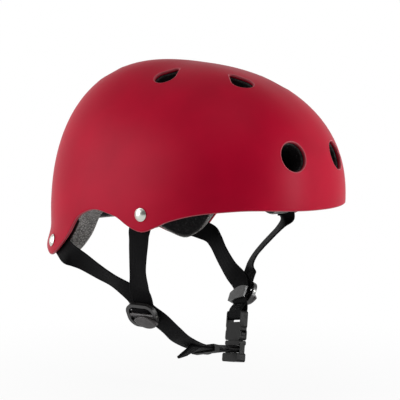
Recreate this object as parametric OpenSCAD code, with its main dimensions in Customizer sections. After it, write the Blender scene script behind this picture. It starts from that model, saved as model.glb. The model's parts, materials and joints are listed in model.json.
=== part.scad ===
// Open-face skate helmet: moulded shell, foam liner, fit pads, riveted webbing harness and clip buckle.
// Millimetres. +Z is up, the wearer faces -Y and the wearer's left is +X.
// The origin is the middle of the head opening, at the height of the widest line of the shell.

/* [Shell] */
// Half of the shell's width
shell_half_w = 106; // [98:1:114]
// From the origin to the front of the shell
shell_front_l = 134; // [126:1:142]
// From the origin to the back of the shell
shell_back_l = 128; // [120:1:136]
// From the origin to the top of the shell
shell_h = 127; // [118:1:134]
// Thickness of the shell
shell_t = 3; // [2.5:0.1:3.5]
// How square the plan outline is: 2 is an ellipse
plan_power = 2.42; // [2.2:0.02:2.6]
// How square the front of the dome is
front_power = 2.49; // [2.2:0.01:2.7]
// How square the sides of the dome are
side_power = 1.95; // [1.8:0.01:2.2]
// How square the back of the dome is
back_power = 2.58; // [2.2:0.01:2.7]
// How far the top of the dome lies in front of the origin
apex_shift = 7.5; // [4:0.5:10]
// Rise of the dome for each millimetre towards the back
crown_tilt = 0.0011; // [0.0008:0.0001:0.0014]
// How far the lowest part of the rear lobes flares outwards
rear_flare = 4; // [0:0.5:5]

/* [Shell edge] */
// Height of the edge at the front
front_edge = 3; // [1:0.5:6]
// Height of the edge at the temples
brow_edge = 5; // [2:0.5:8]
// Height of the edge below the side rivets
side_lobe = -13.5; // [-17:0.5:-12]
// Height of the edge over the ears
ear_arch = 2; // [0:0.5:5]
// Height of the edge below the rear rivets
rear_lobe = -41; // [-44:0.5:-38]
// Height of the edge at the nape
back_edge = -18; // [-24:0.5:-12]

/* [Vents] */
// Diameter of the round vents
round_vent_d = 22.5; // [16:0.5:26]
// Diameter of the round end of the teardrop vents
drop_end_d = 17; // [12:0.5:20]
// Diameter of the tip of the teardrop vents
drop_tip_d = 3; // [2:0.5:5]
// From the centre of the round end to the centre of the tip
drop_len = 14; // [10:0.5:18]
// How much wider each vent is in the shell than in the liner
vent_lip = 0.8; // [0:0.1:2]

/* [Liner and pads] */
// Thickness of the foam liner
liner_t = 20; // [15:0.5:24]
// How far the liner's edge stands above the shell's edge
liner_lift = 1.5; // [0.5:0.5:4]
// Thickness of the hook patches
hook_t = 1; // [0.6:0.1:1.5]
// Thickness of the pads at their crown
pad_t = 6; // [4:0.5:10]

/* [Webbing] */
// Width of the webbing
web_w = 20; // [18:0.5:21]
// Thickness of the webbing
web_t = 1.6; // [1.2:0.1:1.8]
// Length of webbing above each rivet
web_end = 8; // [6:0.5:9]

/* [Rivets] */
// Angle of the side rivets, from the front
side_rivet_u = 80; // [79:0.5:82]
// Height of the side rivets
side_rivet_z = 0.6; // [-2:0.2:2]
// Angle of the rear rivets, from the front
rear_rivet_u = 124.5; // [124:0.5:127]
// Height of the rear rivets
rear_rivet_z = -28.5; // [-30:0.5:-26]
// Diameter of the rivet heads
rivet_head_d = 10.8; // [8:0.2:12]
// Height of the rivet heads
rivet_head_h = 2.2; // [1.6:0.1:3]
// Diameter of the rivet shanks
rivet_shank_d = 4.4; // [3:0.1:5]
// Diameter of the flattened rivet tails
rivet_tail_d = 7; // [6:0.2:9]
// Diameter of the washers behind the webbing
washer_d = 13; // [11:0.5:14]
// Thickness of the washers
washer_t = 1; // [0.8:0.1:1.2]

/* [Dividers] */
// Width of the divider frame
divider_w = 29.5; // [29:0.5:32]
// Height of the divider frame
divider_h = 22.5; // [22:0.5:26]
// Width of the bars of the frame
divider_bar = 3; // [2.5:0.1:3.2]
// Thickness of the frame's outer ring
divider_ring_t = 3.4; // [3.2:0.1:4]
// Thickness of the frame's rear plate
divider_plate_t = 1.8; // [1.6:0.1:2.4]
// Diameter of the lever's pin
lever_pin_d = 2; // [1.6:0.1:2.2]
// Width of the lever's leaf
leaf_w = 23; // [20:0.5:24]
// Height of the lever's leaf
leaf_h = 11.5; // [9:0.5:13]
// Thickness of the lever's leaf
leaf_t = 2; // [1.5:0.1:2.5]

/* [Buckle] */
// Width of the buckle
buckle_w = 25; // [25:0.5:27]
// Thickness of the socket and of the tongue's base
buckle_t = 7.4; // [7:0.1:8.4]
// Length of the socket
socket_l = 27; // [26:0.1:28]
// Height of the socket's bar for the webbing
socket_bar = 5.4; // [5:0.1:6]
// Length of the lifting tab
tab_l = 8; // [6:0.5:10]
// Thickness of the lifting tab
tab_t = 9.2; // [8:0.1:11]
// Thickness of the sprung arms
arm_t = 4; // [3.4:0.1:4.2]
// How far the arms' shoulders stand out of the cavity
shoulder_out = 1.8; // [1.4:0.1:2]

/* [Keeper] */
// Length of the webbing keeper
keeper_l = 9; // [7:0.5:11]
// Wall of the webbing keeper
keeper_t = 1.4; // [1:0.1:2]

/* [Hidden] */

left = 1;
right = -1;
// Clearance between pieces that only lie against each other
fit_gap = 0.3;
// Radial clearance of a pin or shank in its hole
bore_gap = 0.05;
// Columns round the dome, rows up it, and how much closer together the lower rows lie
dome_cols = 96;
dome_rows = 15;
row_power = 1.35;
// Millimetres of straight wall below the widest line for each step of the dome's height value
wall_step = 2;
// Where the flare of the rear lobes starts, and the height over which it grows
flare_start = 16;
flare_run = 22;
round_fn = 48;
past = 1;

// The harness places were chosen for a shell of this half width, mean half length and height
harness_for = [106, 131, 127];

// Vector helpers
function unit(v) = v / norm(v);
function mix(a, b, f) = a + (b - a) * f;
function clamp01(x) = max(0, min(1, x));
function ease(x) = let (c = clamp01(x)) c * c * (3 - 2 * c);
function hung(v) = [
    v.x * (shell_half_w / harness_for.x),
    v.y * ((shell_front_l + shell_back_l) / 2 / harness_for.y),
    v.z * (shell_h / harness_for.z)
];

// Dome: u is the angle from the front towards the wearer's left, g the height value, 0 to 90 degrees
// up the dome and negative down the straight wall, and inset the depth below the outer face.
function power_of(c, p) = sign(c) * pow(abs(c), 2 / p);
function rise_power(u) =
    let (w = pow(cos(u), 2)) (cos(u) > 0 ? front_power : back_power) * w + side_power * (1 - w);
function half_length(u) = cos(u) > 0 ? shell_front_l : shell_back_l;
function flare_at(z) = rear_flare * ease((-z - flare_start) / flare_run);
function dome(u, g, inset) =
    let (
        m = rise_power(u),
        c = g > 0 ? pow(cos(g), 2 / m) : 1,
        s = g > 0 ? pow(sin(g), 2 / m) : 0,
        out = flare_at(g * wall_step) - inset,
        x = (shell_half_w + out) * power_of(sin(u), plan_power) * c,
        y = -(half_length(u) + out) * power_of(cos(u), plan_power) * c - apex_shift * s
    )
    [x, y, g > 0 ? (shell_h - inset) * s * (1 + crown_tilt * y) : g * wall_step];
function height_value(u, z, inset) =
    z <= 0 ? z / wall_step :
    let (top = (shell_h - inset) * (1 - crown_tilt * half_length(u) * power_of(cos(u), plan_power)))
    asin(pow(z / top, rise_power(u) / 2));
function dome_normal(u, g) = unit(cross(dome(u + 1, g, 0) - dome(u - 1, g, 0),
                                        dome(u, g + 1, 0) - dome(u, g - 1, 0)));

// A point on the wall, on the wearer's left or right, and the way that a flat band laid there faces
function wall(side, u, z, inset) = dome(side * u, height_value(u, z, inset), inset);
half_web_u = 3;
half_web_z = 9;
function wall_out(side, u, z) =
    unit(side * cross(wall(side, u + half_web_u, z, 0) - wall(side, u - half_web_u, z, 0),
                      wall(side, u, z + half_web_z, 0) - wall(side, u, z - half_web_z, 0)));

// Height of the shell's edge: a smooth curve through stations of [angle, height]
edge_stations = [
    [0, front_edge],
    [36, brow_edge],
    [51, mix(brow_edge, side_lobe, 0.09)],
    [61, mix(brow_edge, side_lobe, 0.24)],
    [70, mix(brow_edge, side_lobe, 0.52)],
    [75, mix(brow_edge, side_lobe, 0.79)],
    [80, side_lobe],
    [85, mix(side_lobe, ear_arch, 0.26)],
    [89.5, mix(side_lobe, ear_arch, 0.76)],
    [95, ear_arch],
    [100, mix(ear_arch, rear_lobe, 0.06)],
    [105, mix(ear_arch, rear_lobe, 0.2)],
    [110, mix(ear_arch, rear_lobe, 0.48)],
    [114, mix(ear_arch, rear_lobe, 0.72)],
    [118, mix(ear_arch, rear_lobe, 0.88)],
    [125, rear_lobe],
    [133, mix(rear_lobe, back_edge, 0.17)],
    [142, mix(rear_lobe, back_edge, 0.5)],
    [153, mix(rear_lobe, back_edge, 0.85)],
    [180, back_edge]
];
last_station = len(edge_stations) - 1;
function fold(u) = let (a = abs(u) % 360) a > 180 ? 360 - a : a;
function station_at(a, k = 0) =
    k >= last_station - 1 || edge_stations[k + 1][0] >= a ? k : station_at(a, k + 1);
function slope_at(k) =
    k == 0 || k == last_station ? 0 :
    (edge_stations[k + 1][1] - edge_stations[k - 1][1]) / (edge_stations[k + 1][0] - edge_stations[k - 1][0]);
function edge_height(u) =
    let (
        a = fold(u),
        k = station_at(a),
        p = edge_stations[k],
        q = edge_stations[k + 1],
        span = q[0] - p[0],
        t = (a - p[0]) / span
    )
    (2 * t ^ 3 - 3 * t ^ 2 + 1) * p[1] + (t ^ 3 - 2 * t ^ 2 + t) * span * slope_at(k)
    + (3 * t ^ 2 - 2 * t ^ 3) * q[1] + (t ^ 3 - t ^ 2) * span * slope_at(k + 1);

// A closed skin between an outer and an inner face, each a list of rows of points and a top point
function skin_faces(cols, rows) =
    let (inner = cols * rows + 1, top = cols * rows)
    concat(
        [for (r = [0:rows - 2], c = [0:cols - 1], f = [0, 1])
            let (a = r * cols + c, b = r * cols + (c + 1) % cols)
            f == 0 ? [a, a + cols, b] : [b, a + cols, b + cols]],
        [for (c = [0:cols - 1]) [(rows - 1) * cols + c, top, (rows - 1) * cols + (c + 1) % cols]],
        [for (r = [0:rows - 2], c = [0:cols - 1], f = [0, 1])
            let (a = inner + r * cols + c, b = inner + r * cols + (c + 1) % cols)
            f == 0 ? [a, b, a + cols] : [b, b + cols, a + cols]],
        [for (c = [0:cols - 1])
            [inner + (rows - 1) * cols + c, inner + (rows - 1) * cols + (c + 1) % cols, inner + top]],
        [for (c = [0:cols - 1], f = [0, 1])
            let (d = (c + 1) % cols)
            f == 0 ? [c, d, inner + c] : [d, inner + d, inner + c]]
    );

// Groove in the liner's outer face where the webbing lies: the share of its depth at a point
side_groove_half = 7;
rear_groove_from = 103;
rear_groove_to = 135;
groove_fade = 3.5;
side_groove_top = 2.6 * web_end;
rear_groove_top = 2.8 * web_end;
groove_end = 3;
function band(x, low, high, fade) = ease((x - low + fade) / fade) * ease((high + fade - x) / fade);
function groove_share(u, z) =
    let (a = fold(u))
    max(
        band(a, side_rivet_u - side_groove_half, side_rivet_u + side_groove_half, groove_fade)
            * ease((side_rivet_z + side_groove_top - z) / groove_end),
        band(a, rear_groove_from, rear_groove_to, groove_fade)
            * ease((rear_rivet_z + rear_groove_top - z) / groove_end)
    );
web_sag = 0.8;
web_inset = shell_t + fit_gap + web_sag + web_t / 2;
groove_depth = web_sag + web_t + 3 * fit_gap;

function skin_rows(depth, lift, groove) =
    concat(
        [for (r = [0:dome_rows - 1], c = [0:dome_cols - 1])
            let (
                u = 360 * c / dome_cols,
                low = height_value(u, edge_height(u) + lift, depth),
                g = mix(low, 90, pow(r / dome_rows, row_power))
            )
            dome(u, g, depth + groove * groove_share(u, dome(u, g, depth).z))],
        [dome(0, 90, depth)]
    );

module dome_skin(outer, inner, lift, groove = 0) {
    polyhedron(
        points = concat(skin_rows(outer, lift, groove), skin_rows(inner, lift, 0)),
        faces = skin_faces(dome_cols, dome_rows)
    );
}

// A frame: its origin and the directions of its axes
module at_frame(p, x, y, z) {
    multmatrix([
        [x.x, y.x, z.x, p.x],
        [x.y, y.y, z.y, p.y],
        [x.z, y.z, z.z, p.z],
        [0, 0, 0, 1]
    ]) children();
}
module facing(p, out, spin = 0) {
    x = unit(cross([0, 0, 1], out));
    at_frame(p, x, cross(out, x), out) rotate([0, 0, spin]) children();
}

// Vents: angle, height value, turn of the teardrop's tip and whether it is a teardrop
vent_places = [
    [14, 20.5, 0, false],
    [23.6, 64.1, 107, true],
    [88.6, 64.5, 70, true],
    [155, 55, -107, true],
    [162, 21, 0, false]
];
vent_reach = 50;
vent_above = 12;
module drop_shape(grow) {
    r = drop_end_d / 2 + grow;
    tip = drop_tip_d / 2 + grow;
    lean = asin((r - tip) / drop_len);
    translate([-(drop_len + tip - r) / 2, 0]) {
        circle(r = r, $fn = round_fn);
        translate([drop_len, 0]) circle(r = tip, $fn = round_fn);
        polygon([
            [r * sin(lean), r * cos(lean)],
            [drop_len + tip * sin(lean), tip * cos(lean)],
            [drop_len + tip * sin(lean), -tip * cos(lean)],
            [r * sin(lean), -r * cos(lean)]
        ]);
    }
}
module vent_cuts(grow) {
    for (side = [left, right], v = vent_places)
        facing(dome(side * v[0], v[1], 0), dome_normal(side * v[0], v[1]), side < 0 ? v[2] : 180 - v[2])
            translate([0, 0, -vent_reach])
                linear_extrude(vent_reach + vent_above)
                    if (v[3])
                        drop_shape(grow);
                    else
                        circle(d = round_vent_d + 2 * grow, $fn = round_fn);
}

// Rivet places
rivet_places = [[side_rivet_u, side_rivet_z], [rear_rivet_u, rear_rivet_z]];
module at_rivet(side, k) {
    u = rivet_places[k][0];
    z = rivet_places[k][1];
    facing(wall(side, u, z, 0), wall_out(side, u, z)) children();
}
washer_face = web_inset + web_t / 2 + 2 * fit_gap;
tail_face = washer_face + washer_t + fit_gap / 2;
tail_h = 1.4;
head_lift = 0.35;
module rivet_holes(reach, d) {
    for (side = [left, right], k = [0, 1])
        at_rivet(side, k) translate([0, 0, -reach]) cylinder(d = d, h = reach + past, $fn = round_fn);
}

module shell() {
    color("crimson") difference() {
        dome_skin(0, shell_t, 0);
        vent_cuts(vent_lip);
        rivet_holes(shell_t + past, rivet_shank_d + 2 * bore_gap);
    }
}

liner_outer = shell_t + fit_gap;
liner_inner = liner_outer + liner_t;
module liner() {
    color("dimgray") difference() {
        dome_skin(liner_outer, liner_inner, liner_lift, groove_depth);
        vent_cuts(0);
        rivet_holes(tail_face + tail_h + fit_gap, washer_d + 2 * fit_gap);
    }
}

// A patch that lies on the liner's inner face: rings of [share of the size, share of the thickness]
patch_power = 4.5;
function patch_point(place, rho, a, inset) =
    dome(place[0] + place[1] * rho * power_of(cos(a), patch_power),
         place[2] + place[3] * rho * power_of(sin(a), patch_power), inset);
function patch_points(place, rings, base, thick, cols) =
    concat(
        [dome(place[0], place[2], base)],
        [for (ring = rings, c = [0:cols - 1])
            patch_point(place, ring[0], 360 * c / cols, base + thick * ring[1])],
        [dome(place[0], place[2], base + thick)]
    );
function patch_faces(rings, cols) =
    let (end = 1 + rings * cols)
    concat(
        [for (c = [0:cols - 1]) [0, 1 + (c + 1) % cols, 1 + c]],
        [for (r = [0:rings - 2], c = [0:cols - 1], f = [0, 1])
            let (a = 1 + r * cols + c, b = 1 + r * cols + (c + 1) % cols)
            f == 0 ? [a, b, a + cols] : [b, b + cols, a + cols]],
        [for (c = [0:cols - 1]) [end, 1 + (rings - 1) * cols + c, 1 + (rings - 1) * cols + (c + 1) % cols]]
    );
module patch(place, rings, base, thick, cols) {
    polyhedron(points = patch_points(place, rings, base, thick, cols), faces = patch_faces(len(rings), cols));
}

// Pads: angle, half of their span, height value and half of their rise
pad_rings = [[0.5, 0], [0.92, 0.03], [1, 0.4], [0.96, 0.75], [0.8, 0.93], [0.5, 0.99]];
pad_cols = 28;
hook_rings = [[1, 0], [1, 1]];
hook_cols = 16;
hook_base = liner_inner + 2 * fit_gap;
pad_base = hook_base + hook_t + fit_gap;
brow_place = [0, 44, 17, 9];
nape_place = [180, 34, 4, 10];
side_place = [88, 25, 24, 13];
crown_reach = 20;
hook_span = 5;
hook_rise = 4;
long_pad_share = 0.6;
side_pad_share = 0.5;
module pad(place) {
    color("black") patch(place, pad_rings, pad_base, pad_t, pad_cols);
}
// The crown pad is a disc round the top: its height value falls evenly from the middle
module crown_disc(rings, base, thick, reach, cols) {
    polyhedron(
        points = concat(
            [dome(0, 90, base)],
            [for (ring = rings, c = [0:cols - 1])
                dome(360 * c / cols, 90 - reach * ring[0], base + thick * ring[1])],
            [dome(0, 90, base + thick)]
        ),
        faces = patch_faces(len(rings), cols)
    );
}
module brow_pad() pad(brow_place);
module nape_pad() pad(nape_place);
module side_pad(side) pad([side * side_place[0], side_place[1], side_place[2], side_place[3]]);
module crown_pad() {
    color("black") crown_disc(pad_rings, pad_base, pad_t, crown_reach, pad_cols);
}
module hook_patches() {
    color("darkslategray") {
        for (p = [brow_place, nape_place], s = [-1, 1])
            patch([p[0] + s * p[1] * long_pad_share, hook_span, p[2], hook_rise],
                hook_rings, hook_base, hook_t, hook_cols);
        for (side = [left, right], s = [-1, 1])
            patch([side * side_place[0] + s * side_place[1] * side_pad_share, hook_span,
                side_place[2], hook_rise], hook_rings, hook_base, hook_t, hook_cols);
        crown_disc(hook_rings, hook_base, hook_t, crown_reach / 3, hook_cols);
    }
}

// Rivets and washers
module rivet(side, k) {
    dome_r = (pow(rivet_head_d / 2, 2) + pow(rivet_head_h, 2)) / (2 * rivet_head_h);
    color("silver") at_rivet(side, k) {
        translate([0, 0, head_lift]) intersection() {
            translate([0, 0, rivet_head_h - dome_r]) sphere(r = dome_r, $fn = 2 * round_fn);
            cylinder(d = rivet_head_d, h = rivet_head_h, $fn = round_fn);
        }
        translate([0, 0, -tail_face - tail_h / 2])
            cylinder(d = rivet_shank_d, h = tail_face + tail_h / 2 + head_lift + rivet_head_h / 3,
                $fn = round_fn);
        translate([0, 0, -tail_face - tail_h]) cylinder(d = rivet_tail_d, h = tail_h, $fn = round_fn);
    }
}
module rivet_washers() {
    color("gainsboro")
        for (side = [left, right], k = [0, 1])
            at_rivet(side, k) translate([0, 0, -washer_face - washer_t]) difference() {
                cylinder(d = washer_d, h = washer_t, $fn = round_fn);
                translate([0, 0, -past])
                    cylinder(d = rivet_shank_d + 2 * bore_gap, h = washer_t + 2 * past, $fn = round_fn);
            }
}

// Webbing: a flat band through stations of [point, the way its face looks]
web_steps = 4;
function between(a, b, c, d, t) =
    0.5 * (2 * b + (c - a) * t + (2 * a - 5 * b + 4 * c - d) * t ^ 2 + (3 * b - a - 3 * c + d) * t ^ 3);
function along(list, x, k) =
    let (n = len(list), i = min(floor(x), n - 2), t = x - i)
    between(list[max(i - 1, 0)][k], list[i][k], list[i + 1][k], list[min(i + 2, n - 1)][k], t);
function band_ring(list, x) =
    let (
        n = len(list) - 1,
        d = 0.02,
        p = along(list, x, 0),
        t = unit(along(list, min(x + d, n), 0) - along(list, max(x - d, 0), 0)),
        w = unit(cross(t, along(list, x, 1))),
        f = cross(w, t)
    )
    [for (c = [[1, 1], [-1, 1], [-1, -1], [1, -1]]) p + w * c[0] * web_w / 2 + f * c[1] * web_t / 2];
module webbing(list) {
    rings = (len(list) - 1) * web_steps;
    points = [for (r = [0:rings]) each band_ring(list, r / web_steps)];
    faces = concat(
        [[0, 2, 1], [0, 3, 2]],
        [for (r = [0:rings - 1], k = [0:3], f = [0, 1])
            let (a = 4 * r + k, b = 4 * r + (k + 1) % 4)
            f == 0 ? [a, b, a + 4] : [b, b + 4, a + 4]],
        [[4 * rings, 4 * rings + 1, 4 * rings + 2], [4 * rings, 4 * rings + 2, 4 * rings + 3]]
    );
    color("black") polyhedron(points = points, faces = faces);
}

// The stations of a bend: from one angle to another round a centre, in a plane given by two directions
function bend(centre, p, q, r, from, to, steps) =
    [for (k = [0:steps])
        let (a = mix(from, to, k / steps), out = p * cos(a) + q * sin(a))
        [centre + r * out, -out]];

// Dividers: centre, the way the outer face looks and the way to the front, right and then left
divider_places = [
    [[-71.2, -6, -84.8], [-0.89, -0.1, -0.45], [0.11, -0.99, 0]],
    [[69.5, -3.1, -85.5], [0.77, -0.38, -0.5], [-0.35, -0.86, 0.36]]
];
function divider_place(side) = divider_places[side < 0 ? 0 : 1];
function divider_at(side) = hung(divider_place(side)[0]);
function divider_out(side) = unit(divider_place(side)[1]);
function divider_up(side) = unit(-side * cross(divider_out(side), divider_place(side)[2]));
function divider_fore(side) = side * cross(divider_out(side), divider_up(side));
function in_divider(side, v) =
    divider_at(side) + divider_fore(side) * v.x + divider_up(side) * v.y + divider_out(side) * v.z;
module at_divider(side) {
    function flipped(v) = [-side * v.x, v.y, v.z];
    mirror([side < 0 ? 0 : 1, 0, 0])
        at_frame(flipped(divider_at(side)), flipped(divider_fore(side)), flipped(divider_up(side)),
            flipped(divider_out(side))) children();
}
ply = (web_t + fit_gap) / 2;
ring_face = ply + web_t / 2 + 1.3 * fit_gap;
pin_height = ring_face + divider_ring_t / 2;
hub_r = divider_ring_t / 2;
corner_r = 9;
plate_r = 26;
plate_low = 8;
plate_high = 5;
plate_fore = 10;
module rounded(w, h, r) {
    for (x = [-1, 1], y = [-1, 1])
        translate([x * (w / 2 - r), y * (h / 2 - r)]) circle(r = r, $fn = round_fn);
    square([w - 2 * r, h], center = true);
    square([w, h - 2 * r], center = true);
}
module pin_bore() {
    translate([-divider_w, 0, pin_height]) rotate([0, 90, 0])
        cylinder(d = lever_pin_d + 2 * bore_gap, h = 2 * divider_w, $fn = round_fn);
}
module divider_frame(side) {
    color("dimgray") at_divider(side) difference() {
        union() {
            translate([0, 0, ring_face]) linear_extrude(divider_ring_t) difference() {
                rounded(divider_w, divider_h, corner_r);
                rounded(divider_w - 2 * divider_bar, divider_h - 2 * divider_bar, corner_r - divider_bar);
            }
            translate([-divider_w / 2, -plate_low, -ring_face - divider_plate_t])
                cube([divider_bar, plate_low, 2 * ring_face + divider_plate_t + past]);
            translate([0, 0, -ring_face - divider_plate_t]) linear_extrude(divider_plate_t) intersection() {
                rounded(divider_w, divider_h, corner_r);
                translate([0, plate_high - plate_r]) circle(r = plate_r, $fn = 2 * round_fn);
                translate([-divider_w, -plate_low]) square([divider_w + plate_fore, plate_low + plate_high]);
            }
        }
        pin_bore();
    }
}
leaf_lift = ring_face + divider_ring_t + fit_gap;
leaf_at = [4, -4.5];
leaf_turn = -6;
leaf_neck = 8;
module divider_lever(side) {
    leaf_r = (pow(leaf_w / 2, 2) + pow(leaf_h / 2, 2)) / leaf_h;
    hub_l = divider_w - 2 * divider_bar - 2 * fit_gap;
    color("gray") at_divider(side) difference() {
        union() {
            translate([-hub_l / 2, 0, pin_height]) rotate([0, 90, 0])
                cylinder(r = hub_r, h = hub_l, $fn = round_fn);
            translate([leaf_at.x - leaf_neck / 2, -hub_r, pin_height])
                cube([leaf_neck, hub_r, leaf_lift + leaf_t / 2 - pin_height]);
            translate([leaf_at.x, leaf_at.y, leaf_lift]) rotate([0, 0, leaf_turn])
                linear_extrude(leaf_t) intersection() {
                    translate([0, leaf_r - leaf_h / 2]) circle(r = leaf_r, $fn = 2 * round_fn);
                    translate([0, leaf_h / 2 - leaf_r]) circle(r = leaf_r, $fn = 2 * round_fn);
                }
        }
        pin_bore();
    }
}
pin_inset = 0.2;
module lever_pin(side) {
    color("silver") at_divider(side)
        translate([pin_inset - divider_w / 2, 0, pin_height]) rotate([0, 90, 0])
            cylinder(d = lever_pin_d, h = divider_w - 2 * pin_inset, $fn = round_fn);
}

// Buckle frame: x runs towards the front, y up along the webbing and z towards the head
buckle_at = hung([58.7, -5.8, -101.6]);
buckle_up = unit([0.24, 0.1, 0.965]);
buckle_in = unit(cross([-0.33, -0.925, 0.178], buckle_up));
buckle_fore = cross(buckle_up, buckle_in);
function in_buckle(v) = buckle_at + buckle_fore * v.x + buckle_up * v.y + buckle_in * v.z;
module at_buckle() {
    at_frame(buckle_at, buckle_fore, buckle_up, buckle_in) children();
}
module slab(x, y0, y1, t, r, z = 0) {
    translate([0, (y0 + y1) / 2, z - t / 2]) linear_extrude(t) rounded(x, y1 - y0, r);
}
slot_play = 1.2;
slot_w = web_w + slot_play;
buckle_wall = 1.6;
buckle_corner = 2.4;
slim_corner = 1.6;
socket_slot = 5;
bar_t = 3.2;
cavity_play = 0.8;
cavity_top = -socket_bar - socket_slot - buckle_wall;
cavity_half = buckle_w / 2 - buckle_wall;
cavity_t = arm_t + cavity_play;
mouth_l = 4;
window_l = 5;
ledge_top = mouth_l - socket_l;
window_top = ledge_top + window_l;
neck_y = window_top + 2;
neck_half = 4;
neck_overlap = 1.2;
neck_in = 0.8;
neck_w = buckle_w - 2 * neck_in;
module buckle_socket() {
    color("dimgray") at_buckle() difference() {
        union() {
            slab(buckle_w, neck_y, 0, buckle_t, buckle_corner);
            slab(neck_w, neck_y - neck_half, neck_y + neck_half, buckle_t, slim_corner);
            slab(buckle_w, -socket_l, neck_y - neck_overlap, buckle_t, buckle_corner);
        }
        translate([-slot_w / 2, -socket_bar - socket_slot, -buckle_t])
            cube([slot_w, socket_slot, 2 * buckle_t]);
        for (z = [bar_t / 2, -bar_t / 2 - buckle_t])
            translate([-slot_w / 2, -socket_bar - past, z]) cube([slot_w, socket_bar + 2 * past, buckle_t]);
        translate([-cavity_half, -socket_l - past, -cavity_t / 2])
            cube([2 * cavity_half, socket_l + cavity_top + past, cavity_t]);
        translate([-buckle_w, ledge_top, -cavity_t / 2])
            cube([2 * buckle_w, window_top - ledge_top, cavity_t]);
    }
}
base_top = -socket_l - 1.3 * fit_gap;
base_h = 4.2;
base_in = 0.5;
base_foot = base_top - base_h;
ladder_slot = 2.5;
ladder_bar = 2.2;
bar_y = base_foot - ladder_slot - ladder_bar / 2;
tab_top = bar_y - ladder_bar / 2 - ladder_slot;
tab_corner = 2;
ladder_corner = 0.8;
ladder_in = 2;
arm_pivot = [buckle_w / 2 - 4, base_top - base_h / 2];
knuckle_r = 1.6;
guide_half = 2;
arm_beam = 1.15;
arm_room = arm_beam + fit_gap;
squeeze_room = 3.1;
shoulder_h = 2.4;
module buckle_tongue() {
    color("dimgray") at_buckle() difference() {
        union() {
            slab(buckle_w - 2 * base_in, base_foot, base_top, buckle_t, slim_corner);
            slab(buckle_w - 2 * base_in, tab_top - ladder_in, base_foot + ladder_in,
                buckle_t - ladder_in, ladder_corner);
            slab(buckle_w, tab_top - tab_l, tab_top, tab_t, tab_corner, (tab_t - buckle_t) / 2);
            translate([-guide_half, base_top - 1, -arm_t / 2])
                cube([2 * guide_half, cavity_top - base_top - fit_gap, arm_t]);
        }
        for (y = [base_foot - ladder_slot, tab_top])
            translate([-slot_w / 2, y, -buckle_t]) cube([slot_w, ladder_slot, 2 * buckle_t]);
        translate([-slot_w / 2, tab_top, bar_t / 2])
            cube([slot_w, base_foot - tab_top, buckle_t]);
        translate([-slot_w / 2, tab_top, -bar_t / 2 - buckle_t])
            cube([slot_w, base_foot - tab_top, buckle_t]);
        for (s = [-1, 1]) translate([s * arm_pivot.x, arm_pivot.y, -cavity_t / 2])
            linear_extrude(cavity_t) {
                circle(r = knuckle_r + bore_gap, $fn = round_fn);
                polygon([
                    [s * arm_room, 0], [-s * arm_room, 0], [-s * squeeze_room, base_h], [s * arm_room, base_h]
                ]);
            }
    }
}
module buckle_arm(s) {
    out = cavity_half + shoulder_out - arm_pivot.x;
    low = ledge_top + fit_gap - arm_pivot.y;
    high = cavity_top - fit_gap - arm_pivot.y;
    color("dimgray") at_buckle() translate([s * arm_pivot.x, arm_pivot.y, -arm_t / 2]) {
        cylinder(r = knuckle_r, h = arm_t, $fn = round_fn);
        linear_extrude(arm_t) polygon([
            [-s * arm_beam, 0], [s * arm_beam, 0], [s * arm_beam, low], [s * out, low],
            [s * out, low + shoulder_h], [s * arm_beam, window_top - arm_pivot.y],
            [s * arm_beam, high], [-s * arm_beam, high]
        ]);
    }
}

// Webbing routes
function front_route(side, middle, cross_x, swing) =
    let (u = side_rivet_u, z = side_rivet_z, out = wall_out(side, u, z))
    concat(
        [for (drop = [-web_end, 0, z - side_lobe - 3, z - side_lobe + 1.5])
            [wall(side, u - swing * drop, z - drop, web_inset), out]],
        middle,
        [for (v = [[cross_x[0], 22, ply], [cross_x[0], 15, ply], [cross_x[1], 4, ply], [cross_x[1], -2, ply]])
            [in_divider(side, v), divider_out(side)]]
    );
function rear_route(side, middle) =
    let (u = rear_rivet_u, z = rear_rivet_z)
    concat(
        [
            [wall(side, u + 4.5, z + 2.6, web_inset), wall_out(side, u, z)],
            [wall(side, u, z, web_inset), wall_out(side, u, z)],
            [wall(side, u - 6, z - 3.6, web_inset), wall_out(side, u - 6, z)],
            [wall(side, u - 12, z - 8.2, web_inset), wall_out(side, u - 12, z)]
        ],
        middle
    );
module front_strap_right() {
    difference() {
        webbing(front_route(right, [
            [hung([-98.6, -23.8, -22]), [-0.97, 0.02, -0.2]],
            [hung([-96, -20.8, -30.5]), [-0.96, 0.1, -0.24]],
            [hung([-91.5, -16.4, -44.4]), [-0.94, 0.18, -0.28]],
            [hung([-86.6, -13.4, -57]), [-0.92, 0.06, -0.37]]
        ], [2.8, 1.3], -0.12));
        rivet_holes(washer_face, rivet_shank_d + 2 * bore_gap);
    }
}
module front_strap_left() {
    difference() {
        webbing(front_route(left, [
            [hung([98.6, -29.2, -20.5]), [0.72, -0.54, -0.43]],
            [hung([96.3, -23.6, -28]), [0.56, -0.56, -0.61]],
            [hung([93.8, -17.2, -35.4]), [0.54, -0.55, -0.63]],
            [hung([91, -11.2, -42.6]), [0.53, -0.54, -0.65]],
            [hung([87.2, -5.6, -51]), [0.57, -0.59, -0.57]],
            [hung([83.6, -2.6, -59.6]), [0.69, -0.6, -0.4]]
        ], [1.5, 1], 0.03));
        rivet_holes(washer_face, rivet_shank_d + 2 * bore_gap);
    }
}
keeper_at = hung([-8, -20.3, -124.6]);
keeper_run = unit([0.95, 0.17, -0.28]);
keeper_side = unit(cross(keeper_run, [-0.3, -0.27, -0.91]));
keeper_face = cross(keeper_side, keeper_run);
keeper_travel = 8;
function in_keeper(v) = keeper_at + keeper_side * v.x + keeper_face * v.y + keeper_run * v.z;
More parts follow.
